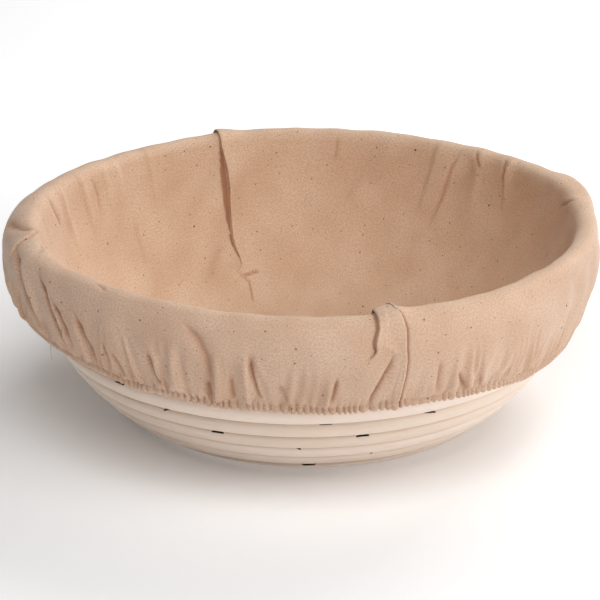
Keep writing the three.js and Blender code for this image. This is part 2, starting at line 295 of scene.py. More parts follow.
class Shader:
    """Nodes of one material, added and linked by short calls."""

    def __init__(self, name: str) -> None:
        """Starts a material with a principled surface.

        Args:
            name: name of the material.
        """
        self.material = bpy.data.materials.new(name)
        self.material.use_nodes = True
        self.tree = self.material.node_tree
        self.surface = self.tree.nodes["Principled BSDF"]

    def node(self, kind: str, inputs: dict | None = None, **settings: object) -> bpy.types.Node:
        """Adds a node.

        Args:
            kind: node type without its ShaderNode prefix.
            inputs: values or sockets for its inputs, by name or number.
            settings: properties of the node.

        Returns:
            The new node.
        """
        made = self.tree.nodes.new("ShaderNode" + kind)
        for key, value in settings.items():
            setattr(made, key, value)
        for key, value in (inputs or {}).items():
            self.feed(made.inputs[key], value)
        return made

    def feed(self, socket: bpy.types.NodeSocket, value: object) -> None:
        """Links a socket to the input, or sets the input's own value."""
        if isinstance(value, bpy.types.NodeSocket):
            self.tree.links.new(value, socket)
        else:
            socket.default_value = value

    def math(self, operation: str, *values: object) -> bpy.types.NodeSocket:
        """Result of a Math node on sockets or numbers."""
        made = self.node("Math", operation=operation)
        for socket, value in zip(made.inputs, values):
            self.feed(socket, value)
        return made.outputs[0]

    def mix(self, factor: object, first: object, second: object) -> bpy.types.NodeSocket:
        """Colour mixed from first to second by factor."""
        made = self.node("Mix", data_type="RGBA")
        self.feed(made.inputs[0], factor)
        self.feed(made.inputs[6], first)
        self.feed(made.inputs[7], second)
        return made.outputs[2]

    def ramp(self, factor: object, low: float, high: float) -> bpy.types.NodeSocket:
        """Eased rise from 0 at low to 1 at high."""
        made = self.node("MapRange", interpolation_type="SMOOTHSTEP")
        self.feed(made.inputs["Value"], factor)
        made.inputs["From Min"].default_value = low
        made.inputs["From Max"].default_value = high
        return made.outputs["Result"]

    def noise(self, place: object, scale: tuple[float, float, float], detail: float = 2.0) -> bpy.types.NodeSocket:
        """Noise from 0 to 1 over places stretched by scale, in waves for each metre."""
        mapping = self.node("Mapping", {"Vector": place, "Scale": scale})
        made = self.node("TexNoise", {"Vector": mapping.outputs[0], "Scale": 1.0, "Detail": detail})
        return made.outputs["Fac"]

    def uv(self) -> bpy.types.NodeSocket:
        """Texture places of the mesh, in metres on the flat piece."""
        return self.node("TexCoord").outputs["UV"]

    def painted_shade(self) -> bpy.types.NodeSocket:
        """Share of painted shade that the mesh carries, deepest in its creases and grooves, from 0 to 1."""
        return self.node("Attribute", attribute_name="painted_shade").outputs["Fac"]

    def stain(self, base: object, share: object, tone: float, colour: Colour) -> bpy.types.NodeSocket:
        """Base colour stained by a share of a tone of another colour."""
        return self.mix(self.math("MULTIPLY", share, tone), base, rgba(colour))

    def bump(self, height: object, distance: float) -> None:
        """Feeds the surface's normal from a height.

        Args:
            height: socket with heights of about one unit.
            distance: metres for one unit.
        """
        made = self.node("Bump", {"Height": height, "Distance": distance, "Strength": 1.0})
        self.feed(self.surface.inputs["Normal"], made.outputs[0])

    def set(self, **values: object) -> None:
        """Sets or links inputs of the surface, with _ for the spaces in their names."""
        for key, value in values.items():
            self.feed(self.surface.inputs[key.replace("_", " ")], value)


def rgba(colour: Colour) -> tuple[float, float, float, float]:
    """Linear colour with full alpha from 0 to 255 screen values."""
    linear = [((c / 255 + 0.055) / 1.055) ** 2.4 if c > 10 else c / 255 / 12.92 for c in colour]
    return (*linear, 1.0)


@dataclass(frozen=True)
class Husk:
    """Specks of seed husk: the cell that each lies in, the share of cells that have one, half its length, its tone."""

    cell: float
    kept: float
    size: float
    tone: float


@dataclass(frozen=True)
class ClothFinish:
    """Unbleached plain-weave cotton with slubs and dark bits of seed husk, painted shade in its creases, pleat mouths
    and hem gaps, and a lining painted lighter and warmer for light that bounces inside the bowl.
    """

    name: str = "unbleached_cotton"
    light: Colour = (225, 196, 174)
    dark: Colour = (210, 176, 151)
    # Lining colours: painted bounce light, lighter and warmer than the cuff's for light bouncing inside the bowl.
    lining_bounce_light: Colour = (238, 208, 181)
    lining_bounce_dark: Colour = (223, 188, 158)
    slub: Colour = (190, 151, 121)
    husk: Colour = (104, 64, 36)
    # Colour of the painted shade in creases, pleat mouths and the hem's gaps.
    crease: Colour = (156, 88, 42)
    grain_tone: float = 0.55
    thread_tone: float = 0.14
    crease_shade_tone: float = 0.5
    lining_border: tuple[float, float] = (-8.0 * MM, 10.0 * MM)
    thread_pitch: float = 0.62 * MM
    slub_count: float = 170.0
    cloud_count: float = 38.0
    grain_count: float = 1250.0
    crumple_counts: Triple = (120.0, 90.0, 1.0)
    weave_share: float = 0.12
    slub_share: float = 0.15
    crumple_share: float = 2.2
    relief: float = 0.15 * MM
    roughness: float = 0.92
    sheen: float = 0.25
    rare_husks: Husk = Husk(30.0 * MM, 0.6, 0.62 * MM, 0.95)
    large_husks: Husk = Husk(10.0 * MM, 0.8, 0.47 * MM, 0.75)
    small_husks: Husk = Husk(4.2 * MM, 0.5, 0.36 * MM, 0.45)

    @staticmethod
    def speckle(shader: Shader, husk: Husk) -> bpy.types.NodeSocket:
        """Specks scattered one to a cell.

        Args:
            shader: the material's nodes.
            husk: the specks.

        Returns:
            The specks' tone on a speck and 0 elsewhere.
        """
        scale = (1 / husk.cell, 1 / husk.cell, 1.0)
        place = shader.node("Mapping", {"Vector": shader.uv(), "Scale": scale})
        cells = shader.node("TexVoronoi", {"Vector": place.outputs[0], "Scale": 1.0}, voronoi_dimensions="2D")
        chance = shader.node("SeparateColor", {"Color": cells.outputs["Color"]})
        size = husk.size / husk.cell
        share = shader.math("MULTIPLY", shader.ramp(chance.outputs[0], 1.0 - husk.kept, 1.0), size)
        edge = shader.math("SUBTRACT", share, cells.outputs["Distance"])
        return shader.math("MULTIPLY", shader.ramp(edge, 0.0, 0.25 * size), husk.tone)

    def material(self) -> bpy.types.Material:
        """Builds the cloth's material."""
        shader = Shader(self.name)
        uv = shader.uv()
        across, up = shader.node("SeparateXYZ", {"Vector": uv}).outputs[:2]
        count = 1 / self.thread_pitch
        weft = shader.noise(uv, (self.slub_count, count, 1.0))
        warp = shader.noise(uv, (count, self.slub_count, 1.0))
        cloudy = shader.noise(uv, (self.cloud_count, self.cloud_count, 1.0), 3.0)
        grain = shader.noise(uv, (self.grain_count, self.grain_count, 1.0))
        # Below the rim the cloth takes the lining's colours: painted bounce light.
        cuff_share = shader.ramp(up, *self.lining_border)
        light = shader.mix(cuff_share, rgba(self.lining_bounce_light), rgba(self.light))
        dark = shader.mix(cuff_share, rgba(self.lining_bounce_dark), rgba(self.dark))
        tone = shader.mix(shader.ramp(cloudy, 0.22, 0.78), light, dark)
        tone = shader.stain(tone, shader.ramp(grain, 0.3, 0.7), self.grain_tone, self.slub)
        threads = shader.ramp(shader.math("MAXIMUM", weft, warp), 0.52, 0.8)
        tone = shader.stain(tone, threads, self.thread_tone, self.slub)
        # Painted shade in the creases, pleat mouths and hem gaps.
        tone = shader.stain(tone, shader.painted_shade(), self.crease_shade_tone, self.crease)
        rare, large, small = (self.speckle(shader, husk)
                              for husk in (self.rare_husks, self.large_husks, self.small_husks))
        specks = shader.math("MAXIMUM", rare, shader.math("MAXIMUM", large, small))
        shader.set(Base_Color=shader.mix(specks, tone, rgba(self.husk)))
        crossings = [shader.math("SINE", shader.math("MULTIPLY", place, 2 * math.pi * count)) for place in (across, up)]
        weave = shader.math("MULTIPLY", shader.math("MULTIPLY", *crossings), self.weave_share)
        slubs = shader.math("MULTIPLY", shader.math("ADD", weft, warp), self.slub_share)
        crumple = shader.math("MULTIPLY", shader.noise(uv, self.crumple_counts), self.crumple_share)
        shader.bump(shader.math("ADD", shader.math("ADD", weave, slubs), crumple), self.relief)
        shader.set(Roughness=shader.math("ADD", shader.math("MULTIPLY", cloudy, 0.1), self.roughness - 0.05))
        shader.set(Sheen_Weight=self.sheen, Sheen_Roughness=0.45, Specular_IOR_Level=0.18)
        return shader.material


@dataclass(frozen=True)
class CaneFinish:
    """Smooth peeled rattan core: cream, with long fibres, pores and a dull wax-like sheen, and painted shade in the
    grooves between rounds.
    """

    name: str = "peeled_rattan"
    light: Colour = (247, 229, 215)
    dark: Colour = (235, 214, 195)
    pore: Colour = (176, 140, 102)
    fibre_tone: float = 0.45
    pore_tone: float = 0.5
    groove_shade_tone: float = 0.6
    broad_counts: Triple = (6.0, 40.0, 1.0)
    fibre_counts: Triple = (22.0, 1500.0, 1.0)
    pore_counts: Triple = (60.0, 3600.0, 1.0)
    relief: float = 0.08 * MM
    roughness: float = 0.46

    def material(self) -> bpy.types.Material:
        """Builds the cane's material."""
        shader = Shader(self.name)
        uv = shader.uv()
        broad = shader.noise(uv, self.broad_counts, 3.0)
        fibres = shader.noise(uv, self.fibre_counts, 4.0)
        pores = shader.noise(uv, self.pore_counts)
        tone = shader.mix(shader.ramp(broad, 0.32, 0.7), rgba(self.light), rgba(self.dark))
        tone = shader.stain(tone, shader.ramp(fibres, 0.45, 0.8), self.fibre_tone, self.dark)
        tone = shader.stain(tone, shader.ramp(pores, 0.64, 0.78), self.pore_tone, self.pore)
        # Painted shade in the grooves between rounds, in the pores' colour.
        shader.set(Base_Color=shader.stain(tone, shader.painted_shade(), self.groove_shade_tone, self.pore))
        height = shader.math("SUBTRACT", fibres, shader.math("MULTIPLY", shader.ramp(pores, 0.62, 0.8), 0.6))
        shader.bump(height, self.relief)
        shader.set(Roughness=shader.math("ADD", shader.math("MULTIPLY", fibres, 0.2), self.roughness - 0.1))
        shader.set(Specular_IOR_Level=0.4, Coat_Weight=0.12, Coat_Roughness=0.35)
        shader.set(Subsurface_Weight=0.06, Subsurface_Radius=(0.004, 0.002, 0.001), Subsurface_Scale=0.4)
        return shader.material


@dataclass(frozen=True)
class StapleFinish:
    """Iron wire gone dark, with rust."""

    name: str = "darkened_wire"
    dark: Colour = (38, 27, 20)
    rust: Colour = (92, 56, 32)
    roughness: float = 0.6

    def material(self) -> bpy.types.Material:
        """Builds the staples' material."""
        shader = Shader(self.name)
        place = shader.node("TexCoord").outputs["Object"]
        patches = shader.noise(place, (420.0, 420.0, 420.0), 5.0)
        pits = shader.noise(place, (2600.0, 2600.0, 2600.0), 2.0)
        shader.set(Base_Color=shader.mix(shader.ramp(patches, 0.45, 0.75), rgba(self.dark), rgba(self.rust)))
        shader.set(Metallic=0.55)
        shader.set(Roughness=shader.math("ADD", shader.math("MULTIPLY", patches, 0.3), self.roughness - 0.15))
        shader.bump(pits, 0.05 * MM)
        return shader.material


@dataclass(frozen=True)
class ThreadFinish:
    """Spun sewing thread, or the covered rubber of the elastic."""

    name: str = "sewing_thread"
    light: Colour = (236, 222, 202)
    dark: Colour = (206, 182, 152)
    twist: float = 0.5 * MM
    roughness: float = 0.85

    def material(self) -> bpy.types.Material:
        """Builds the thread's material."""
        shader = Shader(self.name)
        uv = shader.uv()
        parts = shader.node("SeparateXYZ", {"Vector": uv})
        slant = shader.math("ADD", parts.outputs[0], parts.outputs[1])
        strand = shader.math("SINE", shader.math("MULTIPLY", slant, 2 * math.pi / self.twist))
        fuzz = shader.noise(uv, (900.0, 900.0, 1.0), 3.0)
        # The twist's hollows are painted darker than its ridges: painted shade.
        depth = shader.ramp(shader.math("ADD", strand, fuzz), -0.6, 1.4)
        shader.set(Base_Color=shader.mix(depth, rgba(self.dark), rgba(self.light)))
        shader.bump(shader.math("ADD", strand, fuzz), 0.06 * MM)
        shader.set(Roughness=shader.math("ADD", shader.math("MULTIPLY", fuzz, 0.1), self.roughness))
        shader.set(Sheen_Weight=0.2)
        return shader.material


# Cane bowl


@dataclass(frozen=True)
class BowlShape:
    """Centre line of the cane's rounds in a half-plane through the axis: flat base, heel arc and wall arc."""

    cane_diameter: float = 8.7 * MM
    gap: float = 0.3 * MM
    base_radius: float = 76.0 * MM
    heel_radius: float = 8.0 * MM
    heel_angle: float = math.radians(37.5)
    wall_radius: float = 102.0 * MM
    rim_height: float = 81.5 * MM
    shaving: float = 0.2 * MM
    spiral_degrees: float = 38.5
    facets: int = 8

    @property
    def cane_radius(self) -> float:
        """Half the cane's thickness."""
        return self.cane_diameter / 2

    @property
    def pitch(self) -> float:
        """Distance from one round to the next."""
        return self.cane_diameter + self.gap

    @property
    def base_height(self) -> float:
        """Height of the base's centre line."""
        return self.cane_radius - self.shaving

    @property
    def spacing_inset(self) -> float:
        """Inset of the line along which the rounds are spaced."""
        return self.cane_radius * math.tan(math.pi / self.facets)

    @property
    def heel_length(self) -> float:
        """Length of the heel along the spacing line."""
        return (self.heel_radius - self.spacing_inset) * self.heel_angle

    @property
    def heel_centre(self) -> tuple[float, float]:
        """Centre of the heel's arc, as distance from the axis and height."""
        return self.base_radius, self.base_height + self.heel_radius

    @property
    def wall_centre(self) -> tuple[float, float]:
        """Centre of the wall's arc, as distance from the axis and height."""
        reach = self.wall_radius - self.heel_radius
        radius, height = self.heel_centre
        return radius - reach * math.sin(self.heel_angle), height + reach * math.cos(self.heel_angle)

    def slope(self, length: Array) -> Array:
        """Slope of the bowl at lengths from the axis along the spacing line."""
        on_heel = length - self.base_radius
        heel = on_heel / (self.heel_radius - self.spacing_inset)
        wall = self.heel_angle + (on_heel - self.heel_length) / (self.wall_radius - self.spacing_inset)
        return np.where(on_heel <= 0, 0.0, np.where(on_heel <= self.heel_length, heel, wall))

    def arc_point(self, slope: Array, inset: float) -> tuple[Array, Array]:
        """Point of the heel or the wall.

        Args:
            slope: slope of the bowl there, in radians.
            inset: distance towards the dough from the centre line.

        Returns:
            Distance from the axis and height.
        """
        on_heel = slope <= self.heel_angle
        radius = np.where(on_heel, self.heel_radius, self.wall_radius) - inset
        centre_r = np.where(on_heel, self.heel_centre[0], self.wall_centre[0])
        centre_z = np.where(on_heel, self.heel_centre[1], self.wall_centre[1])
        return centre_r + radius * np.sin(slope), centre_z - radius * np.cos(slope)

    def point(self, length: Array) -> tuple[Array, Array]:
        """Distance from the axis and height of the centre line at lengths from the axis."""
        arc_r, arc_z = self.arc_point(self.slope(length), 0.0)
        flat = length < self.base_radius
        return np.where(flat, length, arc_r), np.where(flat, self.base_height, arc_z)

    def length_at_height(self, height: float) -> float:
        """Length along the spacing line at which the wall's centre line reaches a height."""
        slope = math.acos((self.wall_centre[1] - height) / self.wall_radius)
        return self.base_radius + self.heel_length + (self.wall_radius - self.spacing_inset) * (slope - self.heel_angle)

    def angle(self, rounds: Array) -> Array:
        """Angle round the axis, in radians, of a place on the spiral."""
        return math.radians(self.spiral_degrees) + 2 * np.pi * rounds


@dataclass
class CaneWork:
    """The five lengths of cane, wound into the bowl and spliced on a slant at the back."""

    bowl: BowlShape
    finish: CaneFinish
    first_round_radius: float = 6.75 * MM
    end_thickness: float = 1.0 * MM
    rounds_per_length: float = 3.0
    splice_degrees: float = 83.5
    splice_thickness: float = 0.8 * MM
    splice_steps: int = 24
    seam: float = -0.16 * MM
    splice_gap: float = 0.12 * MM
    squareness: float = 2.9
    sides: int = 24
    steps_per_round: int = 168
    swelling: float = 0.012
    wobble: float = 0.1 * MM
    groove_shade_start: float = 0.88
    groove_shade_widening: float = 0.12
    widening_heights: tuple[float, float] = (34.0 * MM, 14.0 * MM)
    rim_rounding: float = 1.8 * MM

    def ends(self) -> list[float]:
        """Rounds at which the lengths start, and the end of the last."""
        bowl = self.bowl
        step = 1 / self.splice_steps
        top = bowl.rim_height - self.end_thickness + bowl.cane_radius
        last = round(bowl.length_at_height(top) / bowl.pitch / step) * step
        splice = round((self.splice_degrees - bowl.spiral_degrees) / 360 / step) * step
        found = [self.first_round_radius / bowl.pitch, math.floor(bowl.base_radius / bowl.pitch) - 1 + splice]
        while last - found[-1] > self.rounds_per_length + 1:
            found.append(found[-1] + self.rounds_per_length)
        return [*found, last]

    def splice_cut(self, rounds: Array, start: float) -> Array:
        """Place across the cane of a splice's slanted cut that starts at a round."""
        high = self.bowl.cane_radius - self.splice_thickness
        f = (rounds - start) * self.splice_steps
        return high - 2 * high * f

    def build_length(self, name: str, start: float, end: float, spliced_start: bool,
                     spliced_end: bool) -> bpy.types.Object:
        """One length of cane.

        Args:
            name: name of the piece.
            start: round at which it starts.
            end: round at which it ends, or at which its last splice starts.
            spliced_start: whether it starts with a splice.
            spliced_end: whether it ends with a splice.

        Returns:
            The new object.
        """
        bowl = self.bowl
        stop = end + (1 / self.splice_steps if spliced_end else 0.0)
        rounds = np.linspace(start, stop, round((stop - start) * self.steps_per_round) + 1)
        half = (bowl.pitch - self.seam) / 2
        turn = 2 * np.pi * np.arange(self.sides) / self.sides
        power = 2 / self.squareness
        across = half * np.sign(np.cos(turn)) * np.abs(np.cos(turn)) ** power
        out = bowl.cane_radius * np.sign(np.sin(turn)) * np.abs(np.sin(turn)) ** power
        across = np.tile(across, (len(rounds), 1))
        if spliced_end:
            cut = np.where(rounds >= end, self.splice_cut(rounds, end), half)
            across = np.minimum(across, cut[:, None])
        if spliced_start:
            cut = self.splice_cut(rounds, start) + self.splice_gap
            cut = np.where(rounds <= start + 1 / self.splice_steps, cut, -half)
            across = np.maximum(across, cut[:, None])
        edge = np.abs(across) / half
        swell = 1 + self.swelling * waves(rounds, (7, 11, 17), 5)
        lean = self.wobble * waves(rounds / 1.37, (3, 5, 9, 14), 8)
        length = rounds * bowl.pitch
        radius, height = bowl.point(length)
        slope = bowl.slope(length)[:, None]
        # Painted shade in the grooves between rounds, reaching further across the lower rounds.
        widening = self.groove_shade_widening * smooth_step(*self.widening_heights, height)
        shaded = (self.groove_shade_start - widening)[:, None]
        groove = smooth_step(0.0, 1.0, (edge - shaded) / (1.0 - shaded))
        across = across + lean[:, None]
        out = out[None, :] * swell[:, None]
        point_r = radius[:, None] + across * np.cos(slope) + out * np.sin(slope)
        point_z = height[:, None] + across * np.sin(slope) - out * np.cos(slope)
        rim_slope = math.acos((bowl.wall_centre[1] - bowl.rim_height + bowl.cane_radius) / bowl.wall_radius)
        from_rim = (point_r - bowl.arc_point(np.array(rim_slope), 0.0)[0]) / bowl.cane_radius
        point_z = np.clip(point_z, 0.0, bowl.rim_height - self.rim_rounding * np.minimum(from_rim**2, 1.0))
        points = to_space(point_r, point_z, bowl.angle(rounds)[:, None])
        run = np.concatenate([[0.0], np.cumsum(2 * np.pi * radius[:-1] * np.diff(rounds))]) + start
        girth = bowl.cane_diameter * np.pi * np.arange(self.sides + 1) / self.sides
        uv = np.stack(np.meshgrid(run, girth, indexing="ij"), axis=-1)
        return grid_object(name, points, uv, closed_columns=False, closed_rows=True, capped=True, painted_shade=groove)

    def build(self) -> None:
        """Builds the lengths, each in place of its solid."""
        material = self.finish.material()
        ends = self.ends()
        count = len(ends) - 1
        for i in range(count):
            node = "base_cane" if i == 0 else f"wall_cane_{i}"
            piece = self.build_length(f"rattan_{node}", ends[i], ends[i + 1], i > 0, i < count - 1)
            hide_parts(node)
            dress(piece, material, "basket")


@dataclass
class StapleRows:
    """Wire staples: those of the part itself, and those of the base and of the rounds under the cuff."""

    bowl: BowlShape
    finish: StapleFinish
    crown: float = 6.0 * MM
    leg: float = 5.0 * MM
    wire: float = 0.8 * MM
    stand_out: float = 2.8 * MM
    sides: int = 8
    cover: float = 3.0 * MM
    base_rounds: tuple[int, ...] = (2, 4, 6, 7)
    rim_rounds: tuple[int, ...] = (15, 16, 17)
    row_shift: float = 0.37
    spacing: float = 62.0 * MM
    part_leg: float = 11.4 * MM
    seed: int = 5
    seen: dict[str, Sunk] = field(default_factory=dict)

    def bent_line(self, half: float, leg: float) -> list[tuple[float, float]]:
        """Line of a staple's wire from leg to leg.

        Args:
            half: half the crown's length.
            leg: length of a leg.

        Returns:
            Places along the crown and up from it.
        """
        bend = 1.1 * self.wire
        right = [(half - bend, 0.0), (half - 0.3 * bend, -0.3 * bend), (half, -bend), (half, -leg)]
        return [(-x, y) for x, y in right[::-1]] + right

    def sunk_staple(self, name: str, node: bpy.types.Object, sunk: Sunk) -> bpy.types.Object:
        """Bent wire in the place of one of the part's staples.

        Args:
            name: name of the piece.
            node: the part's staple.
            sunk: how deep it sits.

        Returns:
            The new object.
        """
        corners = np.array([node.matrix_world @ v.co for v in node.data.vertices])
        middle = corners.mean(axis=0)
        angle = math.atan2(middle[1], middle[0])
        tangent = np.array([-math.sin(angle), math.cos(angle), 0.0])
        flat = corners - middle
        flat -= (flat @ tangent)[:, None] * tangent
        up = np.linalg.svd(flat)[2][0]
        up *= np.sign(up[2])
        outward = np.cross(tangent, up)
        crown = middle + (np.max(flat @ up) - self.wire / 2) * up
        half = (self.crown - self.wire) / 2
        line = self.bent_line(half, self.part_leg)
        line.insert(len(line) // 2, (0.0, 0.0))
        deep = [MM * float(np.interp(x, (-half, half), sunk.value)) for x, _ in line]
        path = np.array([crown + x * tangent + y * up - z * outward for (x, y), z in zip(line, deep)])
        return strand_object(name, path, self.wire / 2, self.sides, beside=outward)

    def under_cane(self, round_place: float) -> bool:
        """Whether cane lies over the groove above a place on the spiral."""
        groove = np.array([round_place * self.bowl.pitch + self.bowl.pitch / 2])
        return float(self.bowl.point(groove)[1][0]) < self.bowl.rim_height - self.cover

    def wire_piece(self, name: str, round_place: float) -> bpy.types.Object:
        """One bent wire in the groove above a round.

        Args:
            name: name of the piece.
            round_place: place on the spiral.

        Returns:
            The new object.
        """
        bowl = self.bowl
        groove = np.array([round_place * bowl.pitch + bowl.pitch / 2])
        slope = float(bowl.slope(groove)[0])
        radius, height = (float(v[0]) for v in bowl.point(groove))
        angle = float(bowl.angle(round_place))
        outward = np.array([math.sin(slope), -math.cos(slope)])
        radius, height = np.array([radius, height]) + self.stand_out * outward
        middle = to_space(np.array(radius), np.array(height), np.array(angle))
        tangent = np.array([-math.sin(angle), math.cos(angle), 0.0])
        inward = -np.array([outward[0] * math.cos(angle), outward[0] * math.sin(angle), outward[1]])
        line = self.bent_line(self.crown / 2, self.leg)
        path = np.array([middle + x * tangent - y * inward for x, y in line])
        return strand_object(name, path, self.wire / 2, self.sides)

    def build(self) -> None:
        """Dresses the part's own staples and adds the hidden rows."""
        material = self.finish.material()
        rng = np.random.default_rng(self.seed)
        usual = [sunk for sunk in Sunk if sunk is not Sunk.BRIDGING]
        for name, node in sorted(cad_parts.items()):
            if not name.startswith("staple_"):
                continue
            chance = usual[rng.integers(len(usual))]
            piece = self.sunk_staple(f"wire_{name}", node, self.seen.get(name, chance))
            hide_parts(name)
            dress(piece, material, "basket")
        for where, rounds in (("base", self.base_rounds), ("rim", self.rim_rounds)):
            for number, place in enumerate(rounds, start=1):
                radius = float(self.bowl.point(np.array([place * self.bowl.pitch]))[0][0])
                count = max(3, round(2 * math.pi * radius / self.spacing))
                places = [place + (k + self.row_shift * number) / count for k in range(count)]
                wires = [self.wire_piece(f"{where}_wire", p) for p in places if self.under_cane(p)]
                dress(join(f"{where}_staples_{number}", wires), material, "basket")


# Staples that the photograph shows, from the base up

SEEN_STAPLES = {
    "staple_01": Sunk.BRIDGING,
    "staple_08": Sunk.FAINT,
    "staple_09": Sunk.RIGHT_END,
    "staple_16": Sunk.RIGHT_END,
    "staple_23": Sunk.THIN,
    "staple_24": Sunk.PROUD,
    "staple_25": Sunk.PROUD,
    "staple_32": Sunk.LEFT_END,
    "staple_33": Sunk.THIN,
    "staple_34": Sunk.SLANTED,
    "staple_41": Sunk.PROUD,
}


# Cloth liner


@dataclass(frozen=True)
class Fold:
    """Soft ridge that runs out from the hem or the rim and dies away, in degrees and millimetres."""

    face: Face
    degrees: float
    slant: float
    reach: float
    width: float
    height: float
    lean: float = 0.0


@dataclass(frozen=True)
class Crease:
    """Sharp line creased into the cloth, along (degrees, way) stations, in millimetres, with painted shade along it."""

    path: Stations
    depth: float
    width: float
    lift: float = 0.0
    step: float = 0.0


@dataclass(frozen=True)
class Pleat:
    """Fold in which the cloth lies over itself, with stations along the way over the rim."""

    facing: Facing
    zone: tuple[float, float]
    edge: Stations
    strength: Stations
    height: Stations
    overlap: float
    flatness: float = 0.0
    root: Stations = ((0.0, 0.0),)
    settles: bool = False
    columns: int = 84


@dataclass(frozen=True)
class Opening:
    """Mouth of a pleat, between its edge and a border on the cloth beside it, in degrees and millimetres: a shallow
    dent of depth, with painted shade of strength tone.
    """

    edge: Stations
    border: Stations
    depth: float
    tone: float


@dataclass
class Gathering:
    """Puckers a cloth that has more width than room: lengths pull back to their cut, and sharp bends ease."""

    rounds: int = 420
    pull: float = 0.6
    ease: float = 0.045
    drive: float = 0.82
    wall_centre: tuple[float, float] = (18.78 * MM, 86.7 * MM)
    wall_reach: float = 106.9 * MM

    @staticmethod
    def bend(points: Array) -> Array:
        """Unevenness of the bends across and down the cloth, as a move for each point."""
        across = 0.5 * (np.roll(points, 1, axis=0) + np.roll(points, -1, axis=0)) - points
        across = 0.5 * (np.roll(across, 1, axis=0) + np.roll(across, -1, axis=0)) - across
        down = np.zeros_like(points)
        down[:, 1:-1] = 0.5 * (points[:, :-2] + points[:, 2:]) - points[:, 1:-1]
        move = np.zeros_like(points)
        move[:, 1:-1] = 0.5 * (down[:, :-2] + down[:, 2:]) - down[:, 1:-1]
        return across + move

    @staticmethod
    def stretch(points: Array, wide: Array, tall: Array) -> Array:
        """Moves that bring the lengths across and down the cloth back to their cut."""
        step = np.roll(points, -1, axis=0) - points
        step *= 0.5 * (1 - wide / np.linalg.norm(step, axis=2))[..., None]
        move = step - np.roll(step, 1, axis=0)
        step = points[:, 1:] - points[:, :-1]
        step *= 0.5 * (1 - tall / np.linalg.norm(step, axis=2))[..., None]
        move[:, :-1] += step
        move[:, 1:] -= step
        return move

    def clear(self, points: Array) -> Array:
        """Points pushed out of the cane's wall."""
        centre_r, centre_z = self.wall_centre
        radius = np.hypot(points[..., 0], points[..., 1])
        out_r, out_z = radius - centre_r, points[..., 2] - centre_z
        share = np.maximum(self.wall_reach / np.hypot(out_r, out_z), 1.0) - 1.0
        moved = points.copy()
        moved[..., :2] *= (1 + share * out_r / radius)[..., None]
        moved[..., 2] += share * out_z
        return moved

    def settle(self, points: Array, free: Array, growth: Array) -> Array:
        """Settles a grid of cloth, closed across.

        Args:
            points: columns by rows by 3.
            free: how far each point may move, from 0 to 1.
            growth: width of the cut cloth at each point, over its width now.

        Returns:
            The settled points.
        """
        wide = growth * np.linalg.norm(np.roll(points, -1, axis=0) - points, axis=2)
        tall = np.linalg.norm(points[:, 1:] - points[:, :-1], axis=2)
        now, before = points.copy(), points.copy()
        share = free[..., None]
        for _ in range(self.rounds):
            move = self.pull * self.stretch(now, wide, tall) - self.ease * self.bend(now)
            after = now + share * (move + self.drive * (now - before))
            now, before = self.clear(after), now
        return now


